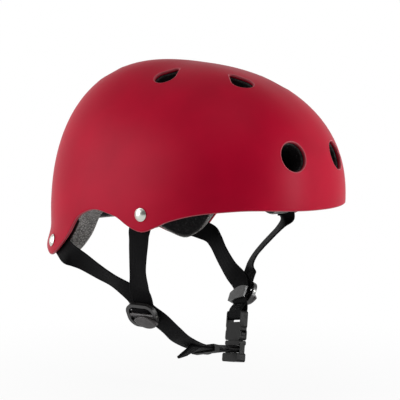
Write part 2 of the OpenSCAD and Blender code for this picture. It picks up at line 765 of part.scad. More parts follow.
module rear_strap_right() {
    difference() {
        webbing(rear_route(right, [
            [hung([-97.8, 50.5, -39.4]), [-0.96, 0.15, -0.12]],
            [hung([-95.2, 42.2, -43.2]), [-0.93, 0.02, -0.36]],
            [hung([-91, 28.5, -51]), [-0.84, 0.03, -0.54]],
            [hung([-86, 15.8, -58.4]), [-0.79, 0.08, -0.61]],
            [in_divider(right, [-9, 17, -ply - 1]), divider_out(right)],
            [in_divider(right, [-3.5, 9.5, -ply]), divider_out(right)],
            [in_divider(right, [1.5, 3, -ply]), divider_out(right)],
            [in_divider(right, [6, -1.5, -ply]), divider_out(right)],
            [in_divider(right, [10.5, -5, -ply]), divider_out(right)],
            [in_divider(right, [14.5, -9.5, -ply - 0.5]), [-0.87, -0.13, -0.48]],
            [hung([-57, -23.4, -100]), [-0.66, -0.2, -0.72]],
            [hung([-48, -25.3, -108]), [-0.45, -0.25, -0.86]],
            [hung([-32, -24.9, -116]), [-0.38, -0.25, -0.89]],
            [in_keeper([0, -ply, -keeper_l / 2 - 6]), keeper_face],
            [in_keeper([0, -ply, -keeper_l / 2 - 0.5]), keeper_face]
        ]));
        rivet_holes(washer_face, rivet_shank_d + 2 * bore_gap);
    }
}
module rear_strap_left() {
    turn_r = bar_t / 2 + fit_gap + web_t / 2;
    difference() {
        webbing(concat(
            rear_route(left, [
                [hung([96.4, 49, -43.4]), [0.96, -0.15, 0]],
                [hung([91, 37.2, -55.3]), [0.94, -0.34, -0.09]],
                [in_divider(left, [-19, 24, -8]), [0.92, -0.35, -0.16]],
                [in_divider(left, [-9.5, 14.8, -2.8]), [0.86, -0.37, -0.33]],
                [in_divider(left, [-4, 8.4, -ply]), divider_out(left)],
                [in_divider(left, [0, 0, -ply]), divider_out(left)],
                [in_divider(left, [0.8, -8, -ply]), divider_out(left)],
                [in_buckle([0, 3.5, -4]), -buckle_in]
            ]),
            [for (b = bend(in_buckle([0, 0.6 - socket_bar, 0]), -buckle_in, -buckle_up, turn_r, 0, 180, 4))
                [b[0], -b[1]]],
            [
                [in_buckle([0, 0, turn_r]), buckle_in],
                [in_buckle([0, 4, 0.6]), buckle_in],
                [in_buckle([0, 7.5, -2.6]), buckle_in]
            ]
        ));
        rivet_holes(washer_face, rivet_shank_d + 2 * bore_gap);
    }
}

// Adjuster webbing: from the keeper, round the tongue's bar and back through the keeper to its folded end
module adjuster_strap() {
    turn_r = ladder_bar / 2 + ladder_slot / 2;
    straight = keeper_l / 2 + keeper_travel + 1;
    webbing(concat(
        [
            [in_keeper([0, -ply, -keeper_l / 2 + 0.2]), keeper_face],
            [in_keeper([0, -ply, 0]), keeper_face],
            [in_keeper([0, -ply, straight]), keeper_face],
            [in_keeper([0, -ply, straight + 3]), keeper_face],
            [hung([20, -11.8, -129.4]), [-0.2, -0.17, -0.97]],
            [hung([33, -6.8, -130.2]), [-0.2, -0.1, -0.97]],
            [in_buckle([0, bar_y + turn_r, 8]), -buckle_up],
            [in_buckle([0, bar_y + turn_r, 3.5]), -buckle_up]
        ],
        bend(in_buckle([0, bar_y, -0.6]), buckle_up, -buckle_in, turn_r, 0, 180, 4),
        [
            [in_buckle([0, bar_y - turn_r, 3.5]), buckle_up],
            [in_buckle([0, bar_y - turn_r + 0.4, 8]), buckle_up],
            [hung([33, -6.8, -133.2]), [0.2, 0.1, 0.97]],
            [hung([20, -11.8, -131.8]), [0.2, 0.17, 0.97]],
            [in_keeper([0, ply, straight + 3]), -keeper_face],
            [in_keeper([0, ply, straight]), -keeper_face],
            [in_keeper([0, ply, 0]), -keeper_face],
            [in_keeper([0, ply, -keeper_l / 2]), -keeper_face],
            [in_keeper([0, ply + 0.1, -keeper_l / 2 - 3]), -keeper_face],
            [hung([-25, -21.4, -122.6]), [0.26, 0.27, 0.9]],
            [hung([-37, -20.6, -121.6]), [0.26, 0.27, 0.9]]
        ]
    ));
}
module strap_keeper() {
    w = web_w + 2 * fit_gap;
    h = 2 * web_t + 3 * fit_gap;
    color("black") at_frame(keeper_at, keeper_side, keeper_face, keeper_run)
        translate([0, 0, -keeper_l / 2]) linear_extrude(keeper_l) difference() {
            rounded(w + 2 * keeper_t, h + 2 * keeper_t, keeper_t);
            square([w, h], center = true);
        }
}

shell();
liner();
brow_pad();
crown_pad();
nape_pad();
side_pad(left);  // side_pad_left
side_pad(right);  // side_pad_right
hook_patches();
rivet(left, 0);  // side_rivet_left
rivet(right, 0);  // side_rivet_right
rivet(left, 1);  // rear_rivet_left
rivet(right, 1);  // rear_rivet_right
rivet_washers();
front_strap_left();
front_strap_right();
rear_strap_left();
rear_strap_right();
divider_frame(left);  // divider_frame_left
divider_frame(right);  // divider_frame_right
divider_lever(left);  // divider_lever_left
divider_lever(right);  // divider_lever_right
lever_pin(left);  // lever_pin_left
lever_pin(right);  // lever_pin_right
buckle_tongue();
buckle_arm(1);  // buckle_arm_front
buckle_arm(-1);  // buckle_arm_rear
buckle_socket();
adjuster_strap();
strap_keeper();
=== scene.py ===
"""Looks of an open-face skate helmet with a webbing harness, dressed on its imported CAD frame.

Shapes are worked out in millimetres, in the frame of the CAD model: +Z up, the wearer faces -Y and the
wearer's left is +X. They turn into metres when a mesh is made.
"""
import json
import logging
import math
from dataclasses import dataclass, field
from enum import Enum
from typing import Any, Sequence, Union

import bpy
import numpy as np
from mathutils import Matrix, Vector
from mathutils.geometry import delaunay_2d_cdt

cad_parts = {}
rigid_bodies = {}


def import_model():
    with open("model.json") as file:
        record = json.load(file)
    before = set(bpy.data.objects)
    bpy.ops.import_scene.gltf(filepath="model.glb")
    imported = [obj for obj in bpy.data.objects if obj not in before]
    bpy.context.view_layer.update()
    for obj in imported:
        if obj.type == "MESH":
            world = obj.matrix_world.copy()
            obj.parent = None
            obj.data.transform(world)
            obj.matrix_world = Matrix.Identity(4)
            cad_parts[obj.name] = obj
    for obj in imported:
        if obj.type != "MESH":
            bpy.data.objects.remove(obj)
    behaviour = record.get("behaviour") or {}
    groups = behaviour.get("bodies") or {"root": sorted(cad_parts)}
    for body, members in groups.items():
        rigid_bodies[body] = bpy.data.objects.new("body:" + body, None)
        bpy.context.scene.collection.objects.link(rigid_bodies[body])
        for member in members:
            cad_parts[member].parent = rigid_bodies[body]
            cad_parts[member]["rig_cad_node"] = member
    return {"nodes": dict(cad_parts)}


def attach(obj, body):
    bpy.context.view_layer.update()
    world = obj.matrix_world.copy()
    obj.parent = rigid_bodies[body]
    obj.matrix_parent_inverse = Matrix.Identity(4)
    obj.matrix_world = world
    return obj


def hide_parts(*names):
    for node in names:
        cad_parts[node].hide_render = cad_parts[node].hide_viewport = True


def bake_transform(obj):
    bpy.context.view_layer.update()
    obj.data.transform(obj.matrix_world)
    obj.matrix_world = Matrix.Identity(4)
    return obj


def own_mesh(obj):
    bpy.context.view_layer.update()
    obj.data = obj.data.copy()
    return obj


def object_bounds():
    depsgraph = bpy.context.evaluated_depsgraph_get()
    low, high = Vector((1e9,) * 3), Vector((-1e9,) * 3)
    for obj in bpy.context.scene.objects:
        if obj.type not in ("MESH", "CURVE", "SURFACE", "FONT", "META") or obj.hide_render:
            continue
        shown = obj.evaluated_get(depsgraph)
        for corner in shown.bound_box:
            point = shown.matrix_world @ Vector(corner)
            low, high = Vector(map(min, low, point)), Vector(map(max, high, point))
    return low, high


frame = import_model()
CAD_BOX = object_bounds()

LOG = logging.getLogger("helmet")
Array = np.ndarray
Station = tuple[Sequence[float], Sequence[float]]
MM = 0.001
# Angle round the bowl, in degrees, and height, in mm, of the rivets on each side
RIVET_SPOTS = {"side": (80, 0.6), "rear": (124.5, -28.5)}
# The point that the pads look at, in mm
BOWL_MIDDLE = np.array([0, 0, 8.0])


class Side(Enum):
    """The wearer's side that a piece is on."""

    LEFT = 1
    RIGHT = -1

    @property
    def word(self) -> str:
        """The side as it stands in the names of pieces."""
        return self.name.lower()


class Body(Enum):
    """The bodies of the CAD model that new pieces ride on."""

    HELMET = "helmet"
    LEVER_LEFT = "lever_left"
    LEVER_RIGHT = "lever_right"


# Small helpers


def add_object(name: str, data: bpy.types.ID) -> bpy.types.Object:
    """Put an object with this data into the scene."""
    obj = bpy.data.objects.new(name, data)
    bpy.context.scene.collection.objects.link(obj)
    return obj


def full_turn(count: int) -> Array:
    """Angles of count points round a full turn, in radians."""
    return np.linspace(0, 2 * np.pi, count, endpoint=False)


def unit(v: Sequence[float] | Array) -> Array:
    """Divide a vector, or each row of vectors, by its length."""
    v = np.asarray(v, float)
    return v / np.linalg.norm(v, axis=-1, keepdims=True)


def ease(x: Array | float) -> Array:
    """Smooth step from 0 to 1: three times the square less twice the cube, of x held between 0 and 1."""
    c = np.clip(x, 0, 1)
    return c * c * (3 - 2 * c)


def way_along(points: Array) -> Array:
    """How far along a line each of its points (n, d) lies."""
    return np.concatenate([[0], np.cumsum(np.linalg.norm(np.diff(points, axis=0), axis=1))])


def power_of(c: Array, power: float) -> Array:
    """Superellipse coordinate: the sign of c times its size to the power of two over power."""
    return np.sign(c) * np.abs(c) ** (2 / power)


@dataclass(frozen=True)
class Place:
    """A place with three unit directions, used as a local frame.

    Attributes:
        at: the origin of the frame, in mm.
        x: first direction.
        y: second direction.
        z: third direction.
    """

    at: Array
    x: Array
    y: Array
    z: Array

    def point(self, local: Sequence[float] | Array) -> Array:
        """Carry local coordinates (..., 3) into the object's frame."""
        v = np.asarray(local, float)
        return self.at + v[..., 0:1] * self.x + v[..., 1:2] * self.y + v[..., 2:3] * self.z

    def local(self, points: Array) -> Array:
        """Carry points (..., 3) of the object's frame into this frame."""
        d = points - self.at
        return np.stack([d @ self.x, d @ self.y, d @ self.z], axis=-1)

    @staticmethod
    def facing(at: Array, out: Array, spin: float = 0) -> "Place":
        """Make a frame whose z looks outwards and whose x lies level, turned about z.

        Args:
            at: the origin.
            out: the way that z looks.
            spin: turn about z, in degrees.

        Returns:
            The frame.
        """
        x = unit(np.cross([0, 0, 1], out))
        y = np.cross(out, x)
        a = math.radians(spin)
        return Place(at, x * math.cos(a) + y * math.sin(a), y * math.cos(a) - x * math.sin(a), out)


@dataclass(frozen=True)
class Dome:
    """The bowl's parametric form: an angle round it, a height value and an inset below the outer face.

    Attributes:
        half_width: half of its width.
        front: its reach to the front.
        back: its reach to the back.
        height: its height above the widest line.
        plan_power: power of the plan's superellipse.
        front_power: power of the profile at the front.
        side_power: power of the profile at the sides.
        back_power: power of the profile at the back.
        apex_shift: how far to the front its top lies.
        crown_tilt: share by which its height grows for each mm to the back.
        flare: how far the wall flares out at its foot.
        flare_start: depth at which the flare starts.
        flare_run: height over which it grows.
        wall_step: mm down the wall for each unit of the height value.
        edge: angle and height of the stations of the shell's edge.
    """

    half_width: float = 106
    front: float = 134
    back: float = 128
    height: float = 127
    plan_power: float = 2.42
    front_power: float = 2.49
    side_power: float = 1.95
    back_power: float = 2.58
    apex_shift: float = 7.5
    crown_tilt: float = 0.0011
    flare: float = 4
    flare_start: float = 16
    flare_run: float = 22
    wall_step: float = 2
    edge: tuple[tuple[float, float], ...] = (
        (0, 3), (36, 5), (51, 3.335), (61, 0.56), (70, -4.62), (75, -9.615), (80, -13.5), (85, -9.47),
        (89.5, -1.72), (95, 2), (100, -0.58), (105, -6.6), (110, -18.64), (114, -28.96), (118, -35.84),
        (125, -41), (133, -37.09), (142, -29.5), (153, -21.45), (180, -18),
    )

    @staticmethod
    def from_front(u: Array) -> Array:
        """Angle from the front, 0 to 180 degrees, on whichever side u is."""
        a = np.abs(u) % 360
        return np.where(a > 180, 360 - a, a)

    def rise_power(self, u: Array) -> Array:
        """Power of the dome's profile at angle u: a mix by the square of the cosine of u."""
        c = np.cos(np.radians(u))
        return np.where(c > 0, self.front_power, self.back_power) * c * c + self.side_power * (1 - c * c)

    def half_length(self, u: Array) -> Array:
        """Length from the origin to the front or to the back, whichever angle u looks at."""
        return np.where(np.cos(np.radians(u)) > 0, self.front, self.back)

    def point(self, u: Array, g: Array, inset: Array) -> Array:
        """Point of the bowl.

        The plan is a superellipse of u. Its size falls with the cosine of g to the power of two over the
        rise power, while the height grows with the sine of g in the same way. Below zero, g runs down a
        straight wall that flares.

        Args:
            u: angle from the front towards the wearer's left, in degrees.
            g: height value, 0 to 90 up the dome and negative down the wall.
            inset: depth below the outer face, in mm.

        Returns:
            Points (..., 3).
        """
        u, g, inset = np.broadcast_arrays(*(np.asarray(v, float) for v in (u, g, inset)))
        a, m = np.radians(u), self.rise_power(u)
        up = np.radians(np.clip(g, 0, 90))
        c, s = np.abs(np.cos(up)) ** (2 / m), np.sin(up) ** (2 / m)
        out = self.flare * ease((-g * self.wall_step - self.flare_start) / self.flare_run) - inset
        x = (self.half_width + out) * power_of(np.sin(a), self.plan_power) * c
        y = -(self.half_length(u) + out) * power_of(np.cos(a), self.plan_power) * c - self.apex_shift * s
        z = np.where(g > 0, (self.height - inset) * s * (1 + self.crown_tilt * y), g * self.wall_step)
        return np.stack([x, y, z], axis=-1)

    def height_value(self, u: Array, z: Array, inset: Array) -> Array:
        """Height value at which the bowl has the height z, the reverse of point."""
        lean = 1 - self.crown_tilt * self.half_length(u) * power_of(np.cos(np.radians(u)), self.plan_power)
        share = np.clip(z / ((self.height - inset) * lean), 0, 1)
        return np.where(z <= 0, z / self.wall_step, np.degrees(np.arcsin(share ** (self.rise_power(u) / 2))))

    def on_wall(self, u: Array, z: Array, inset: Array) -> Array:
        """Point of the bowl at angle u and height z."""
        return self.point(u, self.height_value(u, z, inset), inset)

    def edge_height(self, u: Array) -> Array:
        """Height of the shell's edge: a cubic through the stations, with the slope of their neighbours."""
        a = self.from_front(u)
        at, high = np.array(self.edge).T
        slope = np.zeros(len(at))
        slope[1:-1] = (high[2:] - high[:-2]) / (at[2:] - at[:-2])
        k = np.clip(np.searchsorted(at, a, side="left") - 1, 0, len(at) - 2)
        span = at[k + 1] - at[k]
        t = (a - at[k]) / span
        return (
            (2 * t**3 - 3 * t**2 + 1) * high[k] + (t**3 - 2 * t**2 + t) * span * slope[k]
            + (3 * t**2 - 2 * t**3) * high[k + 1] + (t**3 - t**2) * span * slope[k + 1]
        )

    def normal(self, u: float, g: float) -> Array:
        """Outward direction at angle u and height value g."""
        du = self.point(u + 1, g, 0) - self.point(u - 1, g, 0)
        dg = self.point(u, g + 1, 0) - self.point(u, g - 1, 0)
        return unit(np.cross(du, dg))

    def wall_out(self, side: Side, u: float, z: float) -> Array:
        """The way that a flat band faces where it lies on the wall."""
        s = side.value
        du = self.on_wall(s * (u + 3), z, 0) - self.on_wall(s * (u - 3), z, 0)
        dz = self.on_wall(s * u, z + 9, 0) - self.on_wall(s * u, z - 9, 0)
        return unit(s * np.cross(du, dz))

    def spot(self, side: Side, u: float, z: float) -> Place:
        """Frame on the outer wall, with its z outwards."""
        return Place.facing(self.on_wall(side.value * u, z, 0), self.wall_out(side, u, z))

    def find(self, place: Place, target: Array, inset: Array, u: float, g: float) -> tuple[Array, Array]:
        """Find where lines along a place's z meet the bowl, by Newton's method on both parameters at once.

        Args:
            place: the frame whose z the lines follow.
            target: x and y of each line in that frame, (n, 2).
            inset: depth below the outer face for each line, (n,).
            u: first guess of the angle.
            g: first guess of the height value.

        Returns:
            The angles and the height values, (n,) each.
        """
        us, gs = np.full(len(target), float(u)), np.full(len(target), float(g))
        h = 0.02

        def flat(a: Array, b: Array) -> Array:
            """Local x and y of the bowl's points."""
            return place.local(self.point(a, b, inset))[:, :2]

        # 40 steps are ample, and none is longer than 8 degrees round the bowl or 5 up it
        for _ in range(40):
            miss = flat(us, gs) - target
            du = (flat(us + h, gs) - flat(us - h, gs)) / (2 * h)
            dg = (flat(us, gs + h) - flat(us, gs - h)) / (2 * h)
            det = du[:, 0] * dg[:, 1] - du[:, 1] * dg[:, 0]
            us = us - np.clip((miss[:, 0] * dg[:, 1] - miss[:, 1] * dg[:, 0]) / det, -8, 8)
            gs = np.clip(gs - np.clip((du[:, 0] * miss[:, 1] - du[:, 1] * miss[:, 0]) / det, -5, 5), 1, 89.5)
        return us, gs


# Meshes


@dataclass
class MeshSheet:
    """Collects points and faces for one mesh.

    Attributes:
        points: blocks of points (n, 3), in mm.
        wear: blocks of one number for each point, 1 on a crest or an edge, painted paler: partly rubbing,
            partly painted highlight.
        faces: blocks of faces (n, corners), as point numbers.
        count: how many points there are.
    """

    points: list[Array] = field(default_factory=list)
    wear: list[Array] = field(default_factory=list)
    faces: list[Array] = field(default_factory=list)
    count: int = 0

    def add(self, points: Array, wear: Array | float = 0.0) -> Array:
        """Add a block of points and return their numbers in the block's own shape."""
        shape = points.shape[:-1]
        self.points.append(points.reshape(-1, 3))
        self.wear.append(np.broadcast_to(wear, shape).reshape(-1))
        start, self.count = self.count, self.count + math.prod(shape)
        return np.arange(start, self.count).reshape(shape)

    @staticmethod
    def cells(grid: Array) -> Array:
        """Corners (rows - 1, columns, 4) of a grid's cells, the last column joined to the first."""
        right = np.roll(grid, -1, axis=1)
        return np.stack([grid[:-1], grid[1:], right[1:], right[:-1]], axis=-1)

    def quads(self, grid: Array, keep: Array | None = None) -> None:
        """Join a grid of point numbers (rows, columns) with quads.

        Args:
            grid: the point numbers.
            keep: which cells (rows - 1, columns) are made, or all of them.
        """
        cells = self.cells(grid)
        self.faces.append(cells.reshape(-1, 4) if keep is None else cells[keep])

    def fan(self, ring: Array, tip: int, turned: bool = False) -> None:
        """Close a ring of point numbers with triangles round one point."""
        after = np.roll(ring, -1)
        order = (after, ring) if turned else (ring, after)
        self.faces.append(np.stack([np.full_like(ring, tip), *order], axis=-1))

    def capped(self, rings: Array, tips: Array, wear: Array | float = 0.0,
               tip_wear: Array | float = 0.0) -> None:
        """Add a closed skin: rings joined by quads, and a fan round a tip at either end.

        Args:
            rings: points (rings, n, 3).
            tips: the two tips (2, 3).
            wear: wear of the rings.
            tip_wear: wear of the tips.
        """
        grid = self.add(rings, wear)
        first, last = self.add(tips, tip_wear)
        self.quads(grid)
        self.fan(grid[0], first)
        self.fan(grid[-1], last, turned=True)

    def build(self, name: str) -> bpy.types.Object:
        """Make the mesh object, with its faces looking outwards and a point attribute of how pale each point
        is painted, for rubbing and painted highlight.

        The sign of the enclosed volume, a sum over triangles of the triple product of their corners,
        tells whether the faces have to be turned round.

        Args:
            name: the name of the piece.

        Returns:
            The object, at the origin, in metres.
        """
        points = np.concatenate(self.points) * MM
        volume = 0.0
        for block in self.faces:
            first, middle, last = points[block[:, :1]], points[block[:, 1:-1]], points[block[:, 2:]]
            volume += float((first * np.cross(middle, last)).sum())
        order = 1 if volume >= 0 else -1
        faces = [face for block in self.faces for face in block[:, ::order].tolist()]
        mesh = bpy.data.meshes.new(name)
        mesh.from_pydata(points.tolist(), [], faces)
        mesh.attributes.new("wear", "FLOAT", "POINT").data.foreach_set(
            "value", np.concatenate(self.wear).astype(np.float32))
        mesh.shade_smooth()
        return add_object(name, mesh)


def lathe(sheet: MeshSheet, place: Place, profile: Array, wear: Array | float = 0.0, turns: int = 48) -> None:
    """Add a profile turned about a place's z: a point is the radius times a unit circle, at its height.

    Args:
        sheet: the mesh that gets the faces.
        place: the frame of the axis.
        profile: radius and height (n, 2). The ends lie on the axis, or the last joins the first.
        wear: wear for each point of the profile.
        turns: points round the axis.
    """
    profile = np.asarray(profile, float)
    worn_and_highlit = np.broadcast_to(np.asarray(wear, float), len(profile))
    a = full_turn(turns)
    closed = profile[0, 0] > 1e-6
    rows = slice(None) if closed else slice(1, -1)
    r, h = profile[rows, :1], profile[rows, 1:]
    rings = place.point(np.stack([r * np.cos(a), r * np.sin(a), np.repeat(h, turns, axis=1)], axis=-1))
    wear_of_rings = np.repeat(worn_and_highlit[rows, None], turns, axis=1)
    if closed:
        grid = sheet.add(rings, wear_of_rings)
        sheet.quads(np.concatenate([grid, grid[:1]]))
    else:
        tips = place.point(np.array([[0, 0, profile[0, 1]], [0, 0, profile[-1, 1]]]))
        sheet.capped(rings, tips, wear_of_rings, worn_and_highlit[[0, -1]])


def corners_of(mesh: bpy.types.Mesh) -> Array:
    """Point number of every face corner."""
    corner = np.empty(len(mesh.loops), int)
    mesh.loops.foreach_get("vertex_index", corner)
    return corner


def write_weave(mesh: bpy.types.Mesh, uv: Array) -> None:
    """Write the UV map that woven finishes follow: (u, v) in cm for every face corner."""
    mesh.uv_layers.new(name="weave").data.foreach_set("uv", uv.reshape(-1))


# Shader sheets: values in a Python expression, and one method for every other node

Input = Union["Value", bpy.types.NodeSocket, float, Sequence[float]]


class Value:
    """A number socket that is used in a Python expression, which adds its Math nodes."""

    def __init__(self, sheet: "ShaderSheet", socket: bpy.types.NodeSocket) -> None:
        """Wrap a socket of a sheet."""
        self.sheet, self.socket = sheet, socket

    def math(self, operation: str, *others: Input, swap: bool = False) -> "Value":
        """Add one Math node.

        Args:
            operation: the node's operation.
            others: the other inputs.
            swap: whether the first other input comes before this value.

        Returns:
            The node's output.
        """
        order = [*others[:1], self, *others[1:]] if swap else [self, *others]
        return self.sheet.value("ShaderNodeMath", {"operation": operation}, dict(enumerate(order)))

    def __add__(self, other: Input) -> "Value":
        """This plus other."""
        return self.math("ADD", other)

    __radd__ = __add__

    def __sub__(self, other: Input) -> "Value":
        """This less other."""
        return self.math("SUBTRACT", other)

    def __rsub__(self, other: Input) -> "Value":
        """Other less this."""
        return self.math("SUBTRACT", other, swap=True)

    def __mul__(self, other: Input) -> "Value":
        """This times other."""
        return self.math("MULTIPLY", other)

    __rmul__ = __mul__

    def sine(self) -> "Value":
        """Sine, in radians."""
        return self.math("SINE")

    def wave(self, period: float) -> "Value":
        """Triangle wave between 0 and the period's half."""
        return self.math("PINGPONG", period / 2)

    def most(self, other: Input) -> "Value":
        """The larger of the two."""
        return self.math("MAXIMUM", other)

    def step(self, low: float, high: float) -> "Value":
        """Smooth step from 0 at low to 1 at high."""
        return self.sheet.value(
            "ShaderNodeMapRange", {"interpolation_type": "SMOOTHSTEP"},
            {"Value": self, "From Min": low, "From Max": high})


class ShaderSheet:
    """A node tree that is filled by Python calls."""

    def __init__(self, tree: bpy.types.NodeTree) -> None:
        """Empty a node tree and take it over."""
        self.tree = tree
        tree.nodes.clear()

    def node(self, kind: str, settings: dict[str, Any] | None = None,
             inputs: dict[Any, Input] | None = None) -> bpy.types.Node:
        """Add one node.

        Args:
            kind: the node's type.
            settings: its properties, set first.
            inputs: values or links for its sockets, by name or number.

        Returns:
            The node.
        """
        node = self.tree.nodes.new(kind)
        for key, setting in (settings or {}).items():
            setattr(node, key, setting)
        for key, given in (inputs or {}).items():
            socket = node.inputs[key]
            source = given.socket if isinstance(given, Value) else given
            if isinstance(source, bpy.types.NodeSocket):
                self.tree.links.new(source, socket)
            elif isinstance(source, (int, float)):
                socket.default_value = source
            else:
                numbers = tuple(source)
                wide = len(numbers) == 3 and socket.type == "RGBA"
                socket.default_value = (*numbers, 1.0) if wide else numbers
        return node

    def value(self, kind: str, settings: dict[str, Any] | None = None,
              inputs: dict[Any, Input] | None = None, output: int | str = 0) -> Value:
        """Add a node and return one output as a value."""
        return Value(self, self.node(kind, settings, inputs).outputs[output])

    def mix(self, factor: Input, a: Input, b: Input) -> bpy.types.NodeSocket:
        """Mix two colours by a factor."""
        return self.node("ShaderNodeMix", {"data_type": "RGBA"}, {0: factor, 6: a, 7: b}).outputs[2]

    def place(self, scale: Sequence[float] = (1.0, 1.0, 1.0)) -> bpy.types.NodeSocket:
        """Object coordinates, scaled."""
        where = self.node("ShaderNodeTexCoord").outputs["Object"]
        return self.node("ShaderNodeMapping", None, {"Vector": where, "Scale": scale}).outputs[0]

    def noise(self, size: float, detail: float = 2.0, rough: float = 0.5) -> Value:
        """Noise on Object coordinates, with features of about size mm."""
        return self.value("ShaderNodeTexNoise", None, {
            "Vector": self.place(), "Scale": 1 / (size * MM), "Detail": detail, "Roughness": rough})

    def streaks(self, scale: Sequence[float], detail: float) -> Value:
        """Noise that is drawn out: scale says how many features each axis has in a metre."""
        return self.value("ShaderNodeTexNoise", None, {
            "Vector": self.place(scale), "Scale": 1.0, "Detail": detail})

    def cells(self, size: float, feature: str = "F1") -> Value:
        """Voronoi cells on Object coordinates, about size mm apart."""
        return self.value("ShaderNodeTexVoronoi", {"feature": feature}, {
            "Vector": self.place(), "Scale": 1 / (size * MM)}, "Distance")

    def attribute(self, name: str) -> Value:
        """A number that the mesh carries on its points."""
        return self.value("ShaderNodeAttribute", {"attribute_name": name}, None, "Fac")

    def bump(self, height: Input, depth: float, strength: float = 1.0) -> bpy.types.NodeSocket:
        """Normal of a relief that is depth mm deep."""
        return self.node("ShaderNodeBump", None, {
            "Strength": strength, "Distance": depth * MM, "Height": height}).outputs[0]


@dataclass(frozen=True)
class Finish:
    """A surface finish: its colour and gloss, and the fields that every kind of finish shares.

    Attributes:
        name: name of the material.
        slot: slot of the record that pieces with this finish belong to; it is not used.
        colour: base colour, linear.
        roughness: mean roughness.
    """

    name: str
    slot: str
    colour: tuple[float, float, float]
    roughness: float

    def tone(self, share: float, lift: float = 0.0) -> tuple[float, ...]:
        """The base colour times share, plus lift."""
        return tuple(c * share + lift for c in self.colour)

    def surface(self, sheet: ShaderSheet) -> dict[str, Input]:
        """Sockets of the Principled shader that this finish sets; each kind has its own."""
        return {"Base Color": self.colour, "Roughness": self.roughness}

    def material(self) -> bpy.types.Material:
        """Make the material, or return the one made before."""
        made = bpy.data.materials.get(self.name)
        if made:
            return made
        made = bpy.data.materials.new(self.name)
        made.use_nodes = True
        made.diffuse_color = (*self.colour, 1.0)
        sheet = ShaderSheet(made.node_tree)
        shader = sheet.node("ShaderNodeBsdfPrincipled", None, self.surface(sheet))
        sheet.node("ShaderNodeOutputMaterial", None, {"Surface": shader.outputs[0]})
        return made

    def dress(self, obj: bpy.types.Object) -> None:
        """Give the piece this finish in place of any other."""
        obj.data.materials.clear()
        obj.data.materials.append(self.material())
        for slot in obj.material_slots:
            slot.link = "OBJECT"
            slot.material = self.material()
        "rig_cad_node" not in obj


@dataclass(frozen=True)
class SoftPaint(Finish):
    """Matt soft-touch paint over moulded plastic, painted paler on its crests and edges: partly rubbing,
    partly a painted highlight.

    Attributes:
        worn_and_highlit: colour of the scuffs, and of the pale crests and edges, which are partly rubbing and
            partly a painted highlight.
    """

    worn_and_highlit: tuple[float, float, float] = (0.42, 0.1, 0.12)

    def surface(self, sheet: ShaderSheet) -> dict[str, Input]:
        """Cloudy crimson with a fine grain, faint scuffs, and pale edges that are partly rubbing and partly a
        painted highlight.
        """
        cloud = sheet.noise(46, 3)
        grain = sheet.noise(0.45, 2)
        scuff = sheet.streaks((60, 240, 900), 2).step(0.66, 0.78)
        # Painted highlight: the shell's rounded edge and vent lips are painted paler, partly as rubbing and
        # partly as light caught by the edges.
        wear = (sheet.attribute("wear") * (0.72 + 0.5 * sheet.noise(3))).step(0.35, 0.95)
        base = sheet.mix(cloud.step(0.3, 0.72), self.tone(0.86), self.colour)
        base = sheet.mix(scuff * 0.05, base, self.worn_and_highlit)
        return {
            "Base Color": sheet.mix(wear * 0.75, base, self.worn_and_highlit),
            "Roughness": self.roughness + 0.06 * (grain - 0.5) + 0.05 * cloud - 0.08 * wear,
            "Specular IOR Level": 0.1,
            "Specular Tint": (1.0, 0.85, 0.97, 1.0),
            "Normal": sheet.bump(grain + 0.4 * sheet.noise(1.6), 0.035, 0.5),
        }


@dataclass(frozen=True)
class BeadFoam(Finish):
    """Moulded bead foam: pressed cells with a few pale beads.

    Attributes:
        pale: colour of the pale beads, and of the painted highlight on its corners and end face, with some
            rubbing.
        bead: size of a bead, in mm.
    """

    pale: tuple[float, float, float] = (0.55, 0.53, 0.51)
    bead: float = 2.6

    def surface(self, sheet: ShaderSheet) -> dict[str, Input]:
        """Dark cells with seams between them, speckled by their own shade, with a painted highlight on the
        corners and end face.
        """
        seam = sheet.cells(self.bead, "DISTANCE_TO_EDGE").step(0.0, 0.16)
        shade = sheet.noise(self.bead * 0.8, 3, 0.7)
        cloud = sheet.noise(14, 3)
        wear = sheet.attribute("wear")
        dark = self.tone(0.45)
        base = sheet.mix(shade.step(0.34, 0.7), dark, self.colour)
        base = sheet.mix(shade.step(0.6, 0.8) * cloud * 0.4, base, self.pale)
        # Painted light: the liner's end face and rounded corners are painted pale, as where light falls on
        # them, with some rubbing.
        fleck = sheet.noise(1.3, 3, 0.75).step(0.36, 0.62)
        base = sheet.mix(wear * (0.3 + 0.7 * fleck), base, self.pale)
        return {
            "Base Color": sheet.mix((1 - seam) * 0.6, base, dark),
            "Roughness": self.roughness - 0.12 * shade,
            "Specular IOR Level": 0.06,
            "Normal": sheet.bump(seam + 0.35 * sheet.noise(0.9, 2), 0.16, 0.7),
        }


@dataclass(frozen=True)
class PadCloth(Finish):
    """Brushed knit over soft foam."""

    def surface(self, sheet: ShaderSheet) -> dict[str, Input]:
        """Rows of small loops that wander, with lint and a soft sheen."""
        loops = sheet.cells(1.1).step(0.1, 0.75)
        lint = sheet.noise(2.2, 4).step(0.56, 0.75)
        cloud = sheet.noise(22, 3)
        base = sheet.mix(1 - loops, self.colour, self.tone(2.3, 0.004))
        return {
            "Base Color": sheet.mix(lint * 0.35 * cloud, base, (0.06, 0.06, 0.065)),
            "Roughness": self.roughness + 0.08 * (loops - 0.5),
            "Specular IOR Level": 0.1,
            "Sheen Weight": 0.04,
            "Sheen Roughness": 0.4,
            "Normal": sheet.bump(loops * 0.8 + 0.5 * sheet.noise(0.5), 0.22, 0.8),
        }


